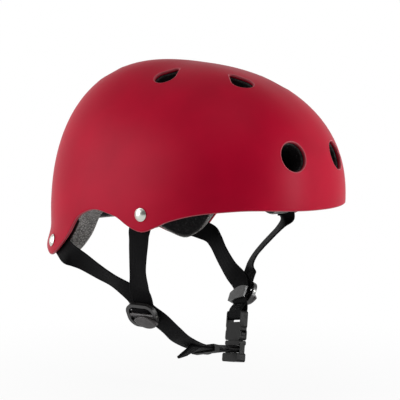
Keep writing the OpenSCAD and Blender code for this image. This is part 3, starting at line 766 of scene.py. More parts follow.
@dataclass(frozen=True)
class Webbing(Finish):
    """Woven polypropylene band, whose threads follow the band's own UV map, in cm.

    Attributes:
        rib: distance of the ribs along the band, in mm.
        warp: width of a row across it, in mm.
    """

    rib: float = 1.15
    warp: float = 1.9

    def surface(self, sheet: ShaderSheet) -> dict[str, Input]:
        """Slanted ribs that meet in rows along the band, between two corded edges."""
        uv = sheet.node("ShaderNodeUVMap", {"uv_map": "weave"}).outputs[0]
        parts = sheet.node("ShaderNodeSeparateXYZ", None, {0: uv}).outputs
        across, along = Value(sheet, parts[0]) * 10, Value(sheet, parts[1]) * 10
        slant = across.wave(2 * self.warp)
        rib = ((along + 0.7 * slant) * (2 * math.pi / self.rib)).sine() * 0.5 + 0.5
        groove = across.wave(self.warp).step(0.0, 0.3)
        relief = rib * 0.7 * groove + 0.3 * groove
        fuzz = sheet.noise(0.35, 2)
        cloud = sheet.noise(9, 3)
        base = sheet.mix(relief * (0.35 + 0.65 * cloud), self.colour, self.tone(2.2, 0.0008))
        wear = sheet.attribute("wear")
        return {
            "Base Color": sheet.mix(wear * 0.4 * fuzz, base, (0.02, 0.019, 0.02)),
            "Roughness": self.roughness + 0.14 * (fuzz - 0.5) - 0.06 * relief,
            "Specular IOR Level": 0.04,
            "Normal": sheet.bump(relief + 0.25 * fuzz, 0.16, 0.8),
        }


@dataclass(frozen=True)
class MouldedPlastic(Finish):
    """Injection-moulded plastic with a fine spark texture.

    Attributes:
        grain: size of the texture, in mm.
        gloss: strength of its mirror-like light.
    """

    grain: float = 0.4
    gloss: float = 0.4

    def surface(self, sheet: ShaderSheet) -> dict[str, Input]:
        """Even black with a fine relief, greasy smooth patches and hair scratches."""
        spark = sheet.cells(self.grain).step(0.1, 0.8)
        smear = sheet.noise(7, 3).step(0.4, 0.7)
        hair = sheet.streaks((2600, 300, 260), 1).step(0.68, 0.76)
        return {
            "Base Color": sheet.mix(smear * 0.5 + 0.3 * hair, self.colour, self.tone(1.9, 0.004)),
            "Roughness": self.roughness + 0.1 * smear - 0.12 * hair,
            "Specular IOR Level": self.gloss,
            "Normal": sheet.bump(spark - 0.6 * hair, 0.03, 0.6),
        }


@dataclass(frozen=True)
class Metal(Finish):
    """Nickel-plated steel, lightly brushed by handling."""

    def surface(self, sheet: ShaderSheet) -> dict[str, Input]:
        """Bright plate with turned scratches and dull specks."""
        brush = sheet.streaks((260, 2400, 420), 3)
        speck = sheet.noise(0.9, 2).step(0.62, 0.74)
        return {
            "Base Color": sheet.mix(speck * 0.5, self.colour, self.tone(0.6)),
            "Metallic": 1.0 - 0.12 * speck,
            "Roughness": self.roughness + 0.16 * brush + 0.2 * speck,
            "Normal": sheet.bump(brush, 0.01, 0.35),
        }


@dataclass(frozen=True)
class HookTape(Finish):
    """Hook tape: rows of small stiff hooks on a woven back."""

    def surface(self, sheet: ShaderSheet) -> dict[str, Input]:
        """Close dots in rows, pale on top."""
        dots = 1 - sheet.cells(1.3).step(0.1, 0.5)
        return {
            "Base Color": sheet.mix(dots * (0.5 + 0.5 * sheet.noise(6)), self.colour, self.tone(2, 0.01)),
            "Roughness": self.roughness - 0.1 * dots,
            "Normal": sheet.bump(dots, 0.35, 0.9),
        }


SHELL_PAINT = SoftPaint("soft_crimson_paint", "shell_plastic", (0.47, 0.0008, 0.024), 0.42)
FOAM = BeadFoam("grey_bead_foam", "foam", (0.03, 0.029, 0.03), 0.85)
PAD_CLOTH = PadCloth("black_brushed_knit", "pad_fabric", (0.012, 0.012, 0.013), 0.9)
PAD_BINDING = PadCloth("black_pad_binding", "pad_fabric", (0.008, 0.008, 0.009), 0.8)
HOOK = HookTape("black_hook_tape", "hook_tape", (0.018, 0.018, 0.019), 0.7)
NICKEL = Metal("nickel_plate", "nickel", (0.62, 0.63, 0.58), 0.24)
BLACK_WEBBING = Webbing("black_ribbed_webbing", "webbing", (0.0013, 0.0012, 0.0015), 0.6)
THREAD = PadCloth("black_sewing_thread", "webbing", (0.012, 0.012, 0.0125), 0.6)
BUCKLE = MouldedPlastic("black_moulded_buckle", "fitting_plastic", (0.003, 0.0028, 0.0028), 0.42, gloss=0.16)
DIVIDER = MouldedPlastic("dark_moulded_divider", "fitting_plastic", (0.013, 0.012, 0.012), 0.3, gloss=0.6)
LEVER = MouldedPlastic("dark_moulded_lever", "fitting_plastic", (0.04, 0.036, 0.036), 0.32,
                       grain=0.55, gloss=0.5)
KEEPER_RUBBER = MouldedPlastic("black_keeper_rubber", "keeper_rubber", (0.008, 0.008, 0.008), 0.6,
                               grain=0.8, gloss=0.2)


def finish_piece(obj: bpy.types.Object, finish: Finish, body: Body | None,
                 stands_for: Sequence[str] = ()) -> None:
    """Dress a new piece, put it on its body and let it stand for its CAD nodes.

    Args:
        obj: the piece.
        finish: its finish.
        body: the body that it rides on, or None, which puts it on no body.
        stands_for: the CAD nodes that it replaces.
    """
    finish.dress(obj)
    if body is not None:
        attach(obj, body.value)
    if stands_for:
        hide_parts(*stands_for)
    LOG.info("%s: %d faces, for %s", obj.name, len(obj.data.polygons), ", ".join(stands_for) or "detail")


# Shell and liner


@dataclass(frozen=True)
class Vent:
    """A vent through the bowl.

    Attributes:
        u: angle of its middle on the wearer's left.
        g: height value of its middle.
        spin: turn of a teardrop's tip.
        tapered: whether it is a teardrop.
        round_r: radius of a round vent.
        end_r: radius of a teardrop's round end.
        tip_r: radius of its tip.
        length: distance between the centres of the two.
    """

    u: float
    g: float
    spin: float
    tapered: bool
    round_r: float = 11.25
    end_r: float = 8.5
    tip_r: float = 1.5
    length: float = 14

    def place(self, dome: Dome, side: Side) -> Place:
        """The vent's frame on one side."""
        s = side.value
        spin = self.spin if side is Side.RIGHT else 180 - self.spin
        return Place.facing(dome.point(s * self.u, self.g, 0), dome.normal(s * self.u, self.g), spin)

    @property
    def lean(self) -> float:
        """Half of the angle between a teardrop's straight flanks, in radians."""
        return math.asin((self.end_r - self.tip_r) / self.length)

    @property
    def start(self) -> float:
        """Place of the round end's centre along the teardrop."""
        return -(self.length + self.tip_r - self.end_r) / 2

    def outline(self) -> tuple[Array, Array]:
        """Outline as points and outward directions, anticlockwise.

        A teardrop is the hull of two circles: an arc of each, joined by its flanks, all of which are
        sampled by the angle of their outward direction or along the flank.

        Returns:
            Points and directions, (n, 2) each.
        """
        def arc(angles: Array, at: float, r: float) -> tuple[Array, Array]:
            """Points and directions of one arc."""
            n = np.stack([np.cos(angles), np.sin(angles)], axis=-1)
            return n * r + [at, 0], n

        if not self.tapered:
            return arc(full_turn(84), 0, self.round_r)
        turn = math.pi / 2 - self.lean
        end, end_n = arc(np.linspace(turn, 2 * np.pi - turn, 46), self.start, self.end_r)
        nose, nose_n = arc(np.linspace(-turn, turn, 18), self.start + self.length, self.tip_r)
        t = np.linspace(0, 1, 12)[1:-1, None]
        low, high = end[-1] + (nose[0] - end[-1]) * t, nose[-1] + (end[0] - nose[-1]) * t
        flank = np.ones_like(t)
        return (
            np.concatenate([end, low, nose, high]),
            np.concatenate([end_n, end_n[-1] * flank, nose_n, nose_n[-1] * flank]),
        )

    def distance(self, flat: Array) -> Array:
        """Distance from points (..., 2) to the outline, negative inside: the hull of two circles."""
        if not self.tapered:
            return np.linalg.norm(flat, axis=-1) - self.round_r
        along, aside = flat[..., 0] - self.start, np.abs(flat[..., 1])
        b, a = math.sin(self.lean), math.cos(self.lean)
        k = a * along - b * aside
        end = np.hypot(along, aside) - self.end_r
        nose = np.hypot(along - self.length, aside) - self.tip_r
        return np.where(k < 0, end, np.where(k > a * self.length, nose, a * aside + b * along - self.end_r))


VENTS = (Vent(14, 20.5, 0, False), Vent(23.6, 64.1, 107, True), Vent(88.6, 64.5, 70, True),
         Vent(155, 55, -107, True), Vent(162, 21, 0, False))


@dataclass
class Bowl:
    """A bowl between two faces of the dome, with a rounded edge and lipped vents.

    Attributes:
        name: name of the piece.
        node: the CAD node that it replaces.
        finish: its finish.
        outer: inset of its outer face.
        inner: inset of its inner face.
        lift: height of its edge above the shell's edge.
        edge_r: radius of the corners of its edge.
        lip_r: radius of the vents' outer corners.
        grow: how much wider its vents are than the liner's.
        bead: height of the rolled lip round the vents.
        grooved: whether the webbing's grooves and the rivets' pockets are pressed into its outer face.
        columns: points round it.
        rows: rows of cells on either face.
        row_power: how much closer together the rows are near the edge.
        flange: how far out from a vent its outermost two rings lie.
        margin: how far out from a vent the grid's cells are left out.
        grooves: the first angle, the last angle and the top of each groove.
        groove_depth: depth of the grooves.
        pocket_r: radius of the pockets.
        pocket_floor: inset of the pockets' floor.
    """

    name: str
    node: str
    finish: Finish
    outer: float
    inner: float
    lift: float
    edge_r: float
    lip_r: float
    grow: float
    bead: float = 0.0
    grooved: bool = False
    columns: int = 288
    rows: int = 66
    row_power: float = 1.3
    flange: tuple[float, float] = (3.6, 2.6)
    margin: float = 4.3
    grooves: tuple[tuple[float, float, float], ...] = ((73, 87, 21.4), (103, 135, -6.1))
    groove_depth: float = 3.3
    pocket_r: float = 7.6
    pocket_floor: float = 9.2
    dome: Dome = Dome()

    @property
    def wall(self) -> float:
        """Thickness of its wall."""
        return self.inner - self.outer

    def groove(self, u: Array, z: Array) -> Array:
        """Depth of the webbing's grooves: bands in the angle that fade out over 3.5 degrees and 3 mm."""
        a, fade = self.dome.from_front(u), 3.5
        bands = [ease((a - low + fade) / fade) * ease((high + fade - a) / fade) * ease((top - z) / 3)
                 for low, high, top in self.grooves]
        return self.groove_depth * np.maximum(*bands)

    def pockets(self, points: Array, inset: Array) -> Array:
        """Deepen the outer face to the rivets' pockets, which are round and end on a flat floor."""
        for side in Side:
            for u, z in RIVET_SPOTS.values():
                away = self.dome.spot(side, u, z).local(points)
                # The flank is 1.6 mm wide, and a wall more than 30 mm away is the one across the bowl
                near = ease((self.pocket_r - np.hypot(away[..., 0], away[..., 1])) / 1.6)
                near = near * (np.abs(away[..., 2]) < 30)
                inset = np.maximum(inset, inset + (self.pocket_floor - inset) * near)
        return inset

    def skin(self, u: Array, share: Array, inset: float, pressed: bool) -> Array:
        """One face of the bowl: rows from the edge to the top, closer together near the edge.

        Args:
            u: angles of the columns.
            share: rows as shares of the way from the edge to the top.
            inset: inset of the face.
            pressed: whether grooves and pockets are pressed into it.

        Returns:
            Points (rows, columns, 3).
        """
        edge = self.dome.edge_height(u) + self.lift + self.edge_r
        low = self.dome.height_value(u, edge, inset)
        g = low + (90 - low) * share[:, None] ** self.row_power
        grid = self.dome.point(u, g, inset)
        if not pressed:
            return grid
        deep = inset + self.groove(u, grid[..., 2])
        return self.dome.point(u, g, self.pockets(grid, deep))

    def rim(self, u: Array) -> tuple[Array, Array]:
        """The edge: a quarter circle in inset and height, a flat end face and a second quarter circle.

        Args:
            u: angles of the columns.

        Returns:
            Points (rows, columns, 3) and how pale they are painted (rows, columns), for rubbing and a painted
            highlight.
        """
        a = np.linspace(0, np.pi / 2, 6)
        quarter = self.edge_r * np.stack([1 - np.cos(a), 1 - np.sin(a)], axis=-1)
        out, back = quarter + [self.outer, 0], quarter[::-1] * [-1, 1] + [self.inner, 0]
        flat = np.linspace(out[-1], back[0], max(2, int(self.wall / 3)))[1:-1]
        path = np.concatenate([out, flat, back] if self.wall > 2.2 * self.edge_r else [out, back[1:]])
        inset, rise = path[:, :1], path[:, 1:]
        base = self.dome.edge_height(u) + self.lift
        points = self.dome.on_wall(u, base + rise, inset)
        # The two rounded corners are painted palest, partly rubbing and partly a painted highlight; on the
        # foam the end face is painted pale too, as painted light
        wear = np.full((len(path), len(u)), 0.8 if self.grooved else 0.0)
        wear[2:5] = wear[-5:-2] = 1.0
        wear[[0, 1, -2, -1]] = 0.2
        if self.grooved:
            pressed = inset + self.groove(u, points[..., 2]) * np.clip(1 - (inset - self.outer) / 6, 0, 1)
            points = self.dome.on_wall(u, base + rise, pressed)
        return points, wear

    def vent_rings(self, vent: Vent, side: Side) -> tuple[Array, Array]:
        """Rings of one vent: along the outer face, round its lip, down its wall and out along the inner face.

        Each ring is the outline moved along its outward directions, on the bowl at the ring's inset.

        Args:
            vent: the vent.
            side: the side that it is on.

        Returns:
            Points (rings, n, 3) and how pale they are painted (rings, n), for rubbing and a painted highlight
            on the lip.
        """
        base, out = vent.outline()
        place = vent.place(self.dome, side)
        a = np.linspace(0, np.pi / 2, 6)
        lip, wall, small = self.lip_r, self.wall, min(0.9, self.lip_r)
        # For each ring: how far out it is, how far below the outer face, and how pale it is painted, as
        # rubbing and painted highlight
        run = [(reach, 0, 0) for reach in self.flange]
        run += [(lip + 0.9, 0, 0), (lip + 0.45, -0.6 * self.bead, 0)]
        run += [(lip * (1 - math.sin(k)), lip * (1 - math.cos(k)) - self.bead * math.cos(k), 1) for k in a]
        run += [(0, deep, 0) for deep in np.arange(lip + 1.2, wall - small - 0.6, 1.6)]
        run += [(small * (1 - math.cos(k)), wall - small * (1 - math.sin(k)), 0.4) for k in a]
        run += [(small + 0.8, wall, 0)] + [(reach, wall, 0) for reach in self.flange[::-1]]
        offset, deep, wear = np.array(run).T
        target = base[None] + out[None] * (offset[:, None, None] + self.grow)
        inset = np.repeat(self.outer + deep, len(base))
        u, g = self.dome.find(place, target.reshape(-1, 2), inset, side.value * vent.u, vent.g)
        rings = self.dome.point(u, g, inset).reshape(len(run), len(base), 3)
        # The lip is painted pale, a painted highlight with some rubbing: fully on the shell, faintly on the
        # foam.
        lip_wear_and_highlight = 0.12 if self.grooved else 1.0
        return rings, np.repeat(wear[:, None] * lip_wear_and_highlight, len(base), axis=1)

    def stitch(self, sheet: MeshSheet, points: Array, grid: Array, hole: Array, place: Place, ring: Array,
               ring_points: Array, turned: bool) -> None:
        """Fill the gap between a vent's outermost ring and the cells left round it with triangles.

        Args:
            sheet: the mesh.
            points: the grid's points (rows, columns, 3).
            grid: the grid's point numbers.
            hole: the cells that were left out (rows - 1, columns).
            place: the vent's frame.
            ring: the ring's point numbers.
            ring_points: the ring's points.
            turned: whether the triangles are turned round, as on an inner face.
        """
        corner = sheet.cells(grid)[hole]
        pairs = np.concatenate([corner[:, [k, (k + 1) % 4]] for k in range(4)])
        edges, counts = np.unique(np.sort(pairs, axis=1), axis=0, return_counts=True)
        loop = edges[counts == 1]
        names = np.unique(loop)
        outline = points.reshape(-1, 3)[names - grid[0, 0]]
        flat = place.local(np.concatenate([outline, ring_points]))[:, :2]
        after = len(names) + np.arange(len(ring))
        links = np.concatenate([np.searchsorted(names, loop), np.stack([after, np.roll(after, -1)], axis=-1)])
        found = delaunay_2d_cdt([Vector(p) for p in flat], links.tolist(), [], 0, 1e-7, True)
        source = np.array([ids[0] for ids in found[3]])
        tris = source[np.array([f for f in found[2] if len(f) == 3])]
        # A triangle is kept if a ray from its middle crosses the two outlines an odd number of times
        x, y = np.split(flat[tris].mean(axis=1), 2, axis=1)
        a, run = flat[links[:, 0]], flat[links[:, 1]] - flat[links[:, 0]]
        above = (a[:, 1] > y) != (flat[links[:, 1], 1] > y)
        with np.errstate(divide="ignore", invalid="ignore"):
            cross = a[:, 0] + (y - a[:, 1]) * run[:, 0] / run[:, 1]
        inside = (above & (x < cross)).sum(axis=1) % 2 == 1
        chosen = np.concatenate([names, ring])[tris[inside]]
        sheet.faces.append(chosen[:, ::-1] if turned else chosen)

    def build(self) -> None:
        """Make the bowl: one grid from the top over the edge to the inner top, with vents let in."""
        sheet = MeshSheet()
        u = np.arange(self.columns) * 360 / self.columns
        share = np.arange(1, self.rows) / self.rows
        outside = self.skin(u, share[::-1], self.outer, self.grooved)
        inside = self.skin(u, share, self.inner, False)
        edge, edge_wear_and_highlight = self.rim(u)
        points = np.concatenate([outside, edge, inside])
        wear = np.concatenate([np.zeros(outside.shape[:2]), edge_wear_and_highlight, np.zeros(inside.shape[:2])])
        grid = sheet.add(points, wear)
        keep = np.ones((len(grid) - 1, self.columns), bool)
        faces = {False: slice(0, self.rows - 1), True: slice(len(grid) - self.rows + 1, len(grid))}
        for side in Side:
            for vent in VENTS:
                place = vent.place(self.dome, side)
                rings, ring_wear_and_highlight = self.vent_rings(vent, side)
                numbers = sheet.add(rings, ring_wear_and_highlight)
                sheet.quads(numbers[::-1])
                for turned, rows in faces.items():
                    local = place.local(points[rows])
                    # Points more than 45 mm along the vent's axis are on the other side of the bowl
                    near = vent.distance(local[..., :2]) < self.margin + self.grow
                    near &= np.abs(local[..., 2]) < 45
                    cells = near[:-1] | near[1:]
                    cells = cells | np.roll(cells, -1, axis=1)
                    keep[rows.start:rows.stop - 1] &= ~cells
                    k = -1 if turned else 0
                    self.stitch(sheet, points[rows], grid[rows], cells, place, numbers[k], rings[k], turned)
        sheet.quads(grid, keep)
        top, ceiling = sheet.add(self.dome.point(0, 90, np.array([self.outer, self.inner])))
        sheet.fan(grid[0], top)
        sheet.fan(grid[-1], ceiling, turned=True)
        finish_piece(sheet.build(self.name), self.finish, Body.HELMET, [self.node])


# Pads


CLOTH_SETTINGS = {
    "quality": 6, "mass": 0.25, "tension_stiffness": 12, "compression_stiffness": 12,
    "bending_stiffness": 0.4, "use_pressure": True, "uniform_pressure_force": 4.0,
}


@dataclass(frozen=True)
class PadShape:
    """A pad's place on the liner's inner face, and its sewn channels.

    Attributes:
        node: the CAD node that it replaces.
        u: angle of its middle, or None for the round crown pad.
        half_span: half of its angle.
        g: height value of its middle.
        half_rise: half of its height value.
        channels: planes as (axis, place) in mm, at which the pad is sewn through.
    """

    node: str
    u: float | None
    half_span: float = 0
    g: float = 0
    half_rise: float = 0
    channels: tuple[tuple[int, float], ...] = ()


@dataclass
class PadKit:
    """The five fit pads, blown up by a cloth simulation and then sewn.

    Attributes:
        shapes: the pads.
        base: inset of their backs.
        thick: their thickness.
        start_share: how much of it they have before they are blown up.
        power: power of their outline.
        crown_reach: reach of the crown pad from the top, as a height value.
        voxel: size of the cells that they are remeshed with.
        most: how far a point may move while they are blown up.
        give: how much of that may be into the liner.
        dip: depth of the sewn channels.
        dip_width: half of the channels' width.
        cord_at: share of the pad's size and height over its back at which its bound edge lies.
        cord_r: radius of the bound edge.
        cord_rib: height of its ribs.
        frames: how many frames of cloth are worked out.
    """

    shapes: tuple[PadShape, ...] = (
        PadShape("brow_pad", 0, 44, 17, 9, ((0, -34), (0, 0), (0, 34))),
        PadShape("nape_pad", 180, 34, 4, 10, ((0, -24), (0, 24))),
        PadShape("side_pad_left", 88, 25, 24, 13, ((1, -16), (1, 22))),
        PadShape("side_pad_right", -88, 25, 24, 13, ((1, -16), (1, 22))),
        PadShape("crown_pad", None, channels=((0, 0),)),
    )
    dome: Dome = Dome()
    base: float = 25.2
    thick: float = 6.0
    start_share: float = 0.82
    power: float = 4.5
    crown_reach: float = 20
    voxel: float = 2.3
    most: float = 1.3
    give: float = 0.25
    dip: float = 2.2
    dip_width: float = 1.9
    cord_at: tuple[float, float] = (0.985, 1.7)
    cord_r: float = 1.15
    cord_rib: float = 0.07
    frames: int = 20

    def patch(self, shape: PadShape, rho: Array, a: Array, inset: Array) -> Array:
        """Point of a pad: a superellipse in angle and height value, or a disc round the top.

        Args:
            shape: the pad.
            rho: share of the pad's size.
            a: angle round the pad, in radians.
            inset: inset of the point.

        Returns:
            Points (..., 3).
        """
        if shape.u is None:
            return self.dome.point(np.degrees(a), 90 - self.crown_reach * rho, inset)
        return self.dome.point(
            shape.u + shape.half_span * rho * power_of(np.cos(a), self.power),
            shape.g + shape.half_rise * rho * power_of(np.sin(a), self.power), inset)

    def blank(self, shape: PadShape) -> bpy.types.Object:
        """The pad before it is blown up: a flat back, round flanks and a crowned front."""
        rho = np.array([0.25, 0.5, 0.75, 0.9, 0.97, 1, 0.99, 0.95, 0.88, 0.75, 0.5, 0.25])
        rise = np.array([0, 0, 0, 0.02, 0.12, 0.4, 0.62, 0.8, 0.92, 0.97, 1, 1])
        inset = self.base + self.thick * self.start_share * rise[:, None]
        sheet = MeshSheet()
        sheet.capped(self.patch(shape, rho[:, None], full_turn(128), inset),
                     self.patch(shape, np.zeros(2), np.zeros(2), inset[[0, -1], 0]))
        return sheet.build(shape.node + "_cushion")

    @staticmethod
    def freeze(obj: bpy.types.Object) -> None:
        """Put the result of the modifiers into the mesh and remove them."""
        bpy.context.view_layer.update()
        result = bpy.data.meshes.new_from_object(obj.evaluated_get(bpy.context.evaluated_depsgraph_get()))
        obj.modifiers.clear()
        obj.data = result

    @staticmethod
    def points_of(obj: bpy.types.Object) -> Array:
        """The mesh's points, in mm."""
        flat = np.empty(len(obj.data.vertices) * 3)
        obj.data.vertices.foreach_get("co", flat)
        return flat.reshape(-1, 3) / MM

    @staticmethod
    def move_points(obj: bpy.types.Object, points: Array) -> None:
        """Give the mesh these points, in mm."""
        obj.data.vertices.foreach_set("co", (points * MM).reshape(-1))
        obj.data.update()

    def blow_up(self, pads: list[bpy.types.Object]) -> None:
        """Swell every pad by a short cloth simulation with pressure inside and no gravity."""
        before = []
        for obj in pads:
            remesh = obj.modifiers.new("even", "REMESH")
            remesh.mode, remesh.voxel_size = "VOXEL", self.voxel * MM
            self.freeze(obj)
            before.append(self.points_of(obj))
        for obj in pads:
            settings = obj.modifiers.new("swell", "CLOTH").settings
            for key, setting in CLOTH_SETTINGS.items():
                setattr(settings, key, setting)
            settings.effector_weights.gravity = 0
        scene = bpy.context.scene
        for step in range(1, self.frames + 1):
            scene.frame_set(step)
        for obj, rest in zip(pads, before):
            self.freeze(obj)
            self.hold_back(obj, rest)
        scene.frame_set(1)

    def hold_back(self, obj: bpy.types.Object, rest: Array) -> None:
        """Cap how far each point went, and keep the back of the pad on the liner.

        Args:
            obj: the pad.
            rest: its points before it was blown up, in mm.
        """
        move = self.points_of(obj) - rest
        move -= move.mean(axis=0)
        length = np.linalg.norm(move, axis=1, keepdims=True)
        move *= np.minimum(1, self.most / np.maximum(length, 1e-9))
        out = unit(rest - BOWL_MIDDLE)
        outward = np.einsum("ij,ij->i", move, out)[:, None]
        move -= out * np.maximum(outward - self.give, 0)
        self.move_points(obj, rest + move)

    def sew(self, obj: bpy.types.Object, shape: PadShape) -> None:
        """Pull the pad's front in along its channels.

        The dip is its depth times e to the power of minus the square of the distance over its width.

        Args:
            obj: the pad.
            shape: what it was made from.
        """
        points = self.points_of(obj)
        normals = np.empty(points.size)
        obj.data.vertices.foreach_get("normal", normals)
        inward = -unit(points - BOWL_MIDDLE)
        front = np.clip(np.einsum("ij,ij->i", normals.reshape(-1, 3), inward), 0, 1)
        dip = np.zeros(len(points))
        for axis, at in shape.channels:
            far = (points[:, axis] - at) / self.dip_width
            dip = np.maximum(dip, self.dip * np.exp(-(far**2)))
        obj.data.attributes.new("wear", "FLOAT", "POINT")
        obj.data.shade_smooth()
        self.move_points(obj, points - inward * (dip * front)[:, None])

    def binding(self, shape: PadShape) -> bpy.types.Object:
        """The bound edge of a pad: a round cord carried along the pad's outline.

        A point is the outline plus the cord's radius times a circle in the outline's normal plane.

        Args:
            shape: the pad.

        Returns:
            The piece.
        """
        a, (share, rise) = full_turn(220), self.cord_at
        path = self.patch(shape, np.full(len(a), share), a, np.full(len(a), self.base + rise))
        along = unit(np.roll(path, -1, axis=0) - np.roll(path, 1, axis=0))
        aside = unit(np.cross(along, unit(path - BOWL_MIDDLE)))
        up = np.cross(aside, along)
        k = full_turn(12)[:, None]
        ring = aside[:, None] * np.cos(k) + up[:, None] * np.sin(k)
        rib = self.cord_r + self.cord_rib * np.cos(np.pi * np.arange(len(a)))
        sheet = MeshSheet()
        grid = sheet.add(path[:, None] + ring * rib[:, None, None])
        sheet.quads(np.concatenate([grid, grid[:1]]))
        return sheet.build(shape.node + "_binding")

    def build(self) -> None:
        """Make, blow up, sew and bind every pad."""
        pads = [self.blank(shape) for shape in self.shapes]
        self.blow_up(pads)
        for obj, shape in zip(pads, self.shapes):
            self.sew(obj, shape)
            smoother = obj.modifiers.new("soft", "SUBSURF")
            smoother.levels = smoother.render_levels = 1
            finish_piece(obj, PAD_CLOTH, Body.HELMET, [shape.node])
            finish_piece(self.binding(shape), PAD_BINDING, Body.HELMET)


# Rivets


@dataclass
class Rivets:
    """Domed rivets and the washers behind the webbing.

    Attributes:
        head_r: radius of a head.
        head_h: height of its dome.
        lift: height of its edge over the wall.
        shank_r: radius of the shank.
        tail_r: radius of the flattened tail.
        tail_face: depth of the tail's near face.
        tail_h: thickness of the tail.
        hole_r: radius of a washer's hole.
        washer_r: radius of a washer.
        washer_face: depth of its near face.
    """

    dome: Dome = Dome()
    head_r: float = 5.4
    head_h: float = 2.2
    lift: float = 0.35
    shank_r: float = 2.2
    tail_r: float = 3.5
    tail_face: float = 7.45
    tail_h: float = 1.4
    hole_r: float = 2.3
    washer_r: float = 6.5
    washer_face: float = 6.3

    def profile(self) -> tuple[Array, Array]:
        """Profile of a rivet from its head's top to its tail.

        It is a spherical cap with a rolled edge, a shank and a tail that the press flattened.

        Returns:
            Radius and height (n, 2), and the wear of each point.
        """
        ball = (self.head_r**2 + self.head_h**2) / (2 * self.head_h)
        a = np.linspace(0, math.asin((self.head_r - 0.25) / ball), 14)
        cap = np.stack([ball * np.sin(a), self.lift + self.head_h - ball * (1 - np.cos(a))], axis=-1)
        head, lift, shank, tail = self.head_r, self.lift, self.shank_r, self.tail_r
        face = -self.tail_face
        end = face - self.tail_h
        rest = np.array([
            (head, lift + 0.22), (head, lift + 0.1), (head - 0.15, lift), (shank, lift), (shank, face),
            (tail - 0.2, face), (tail, face - 0.3), (tail - 0.3, end + 0.2), (shank, end), (0, end + 0.3),
        ])
        worn_and_highlit = np.concatenate([np.zeros(len(cap)), np.ones(2), np.zeros(len(rest) - 2)])
        return np.concatenate([cap, rest]), worn_and_highlit

    def build(self) -> None:
        """Make the four rivets and the set of washers."""
        profile, worn_and_highlit = self.profile()
        washers = MeshSheet()
        top, low = -self.washer_face, -self.washer_face - 1
        hole, r = self.hole_r, self.washer_r
        ring = np.array([(hole, low + 0.15), (hole, top - 0.15), (hole + 0.2, top), (r - 0.25, top),
                         (r, top - 0.2), (r, low + 0.2), (r - 0.25, low), (hole + 0.2, low)])
        for side in Side:
            for name, (u, z) in RIVET_SPOTS.items():
                at = self.dome.spot(side, u, z)
                sheet = MeshSheet()
                lathe(sheet, at, profile, worn_and_highlit)
                node = f"{name}_rivet_{side.word}"
                finish_piece(sheet.build(node + "_turned"), NICKEL, Body.HELMET, [node])
                lathe(washers, at, ring)
        finish_piece(washers.build("rivet_washers_pressed"), NICKEL, Body.HELMET, ["rivet_washers"])


# Harness


@dataclass
class Band:
    """A woven band along stations, each a point and the way its face looks.

    Attributes:
        stations: the stations.
        width: width of the band.
        thick: its thickness.
        steps: rings between two stations.
    """

    stations: Sequence[Station]
    width: float = 20
    thick: float = 1.6
    steps: int = 9

    def blend(self, column: int, x: Array) -> Array:
        """Uniform cubic through the stations: each stretch uses its two ends and their neighbours."""
        p = np.array([s[column] for s in self.stations], float)
        n = len(p)
        i = np.minimum(np.floor(x).astype(int), n - 2)
        t = (x - i)[:, None]
        a, b, c, d = p[np.maximum(i - 1, 0)], p[i], p[i + 1], p[np.minimum(i + 2, n - 1)]
        square, cube = 2 * a - 5 * b + 4 * c - d, 3 * b - a - 3 * c + d
        return 0.5 * (2 * b + (c - a) * t + square * t**2 + cube * t**3)

    def frames(self) -> tuple[Array, Array, Array, Array]:
        """Middle line, the ways across and outwards, and the length so far, at every ring."""
        last = len(self.stations) - 1
        x = np.linspace(0, last, last * self.steps + 1)
        middle = self.blend(0, x)
        ahead = self.blend(0, np.minimum(x + 0.02, last)) - self.blend(0, np.maximum(x - 0.02, 0))
        along = unit(ahead)
        across = unit(np.cross(along, self.blend(1, x)))
        return middle, across, np.cross(across, along), way_along(middle)

    def section(self) -> tuple[Array, Array]:
        """Cross-section: two slightly crowned faces between corded edges.

        Returns:
            Places across and outwards (n, 2) as shares of half of the width and of the thickness, and the
            wear of each point.
        """
        s = np.array([0.0, 0.16, 0.32, 0.48, 0.64, 0.8, 0.88, 0.93, 0.965, 0.99, 1.0])
        h = np.array([0.97, 0.965, 0.96, 0.95, 0.93, 0.86, 0.84, 0.96, 0.9, 0.6, 0.0])
        quarter = np.stack([s, h], axis=-1)
        parts = (quarter[::-1], quarter * [-1, 1], -quarter[::-1], quarter * [1, -1])
        ring = np.concatenate([part[:-1] for part in parts])
        return ring, (np.abs(ring[:, 0]) > 0.9).astype(float)

    def build(self, name: str, swell: Array | None = None) -> bpy.types.Object:
        """Make the band: its section carried along the frames, with a UV map in cm across and along it.

        Args:
            name: name of the piece.
            swell: how much thicker each ring is, or None.

        Returns:
            The object.
        """
        middle, across, out, length = self.frames()
        ring, worn_and_highlit = self.section()
        thick = np.full(len(middle), self.thick / 2) * (1 if swell is None else swell)
        thick[[0, -1]] *= 0.75
        sheet = MeshSheet()
        grid = sheet.add(
            middle[:, None]
            + across[:, None] * (ring[:, :1] * self.width / 2)
            + out[:, None] * (ring[:, 1:] * thick[:, None, None]), worn_and_highlit)
        sheet.quads(grid)
        sheet.faces.append(grid[:1])
        sheet.faces.append(grid[-1:, ::-1])
        obj = sheet.build(name)
        self.weave_map(obj.data, ring * [self.width / 2, self.thick / 2], length)
        LOG.info("%s is %.0f mm long", name, length[-1])
        return obj

    @staticmethod
    def weave_map(mesh: bpy.types.Mesh, section: Array, length: Array) -> None:
        """Write the UV map: the way round the section and the way along the band.

        The corners of the quads come first. Where a quad reaches from a section's last point to its first,
        the first point counts as a full turn.

        Args:
            mesh: the band's mesh.
            section: points of the section, in mm.
            length: way along the band at each ring, in mm.
        """
        around = len(section)
        turn = way_along(np.concatenate([section, section[:1]]))
        corner = corners_of(mesh)
        column = corner % around
        quads = column[:4 * (len(length) - 1) * around].reshape(-1, 4)
        across_seam = (quads == 0) & (quads.max(axis=1) == around - 1)[:, None]
        seam = np.zeros(len(column), bool)
        seam[:quads.size] = across_seam.reshape(-1)
        u = np.where(seam, turn[-1], turn[column])
        write_weave(mesh, np.stack([u, length[corner // around]], axis=-1) / 10)


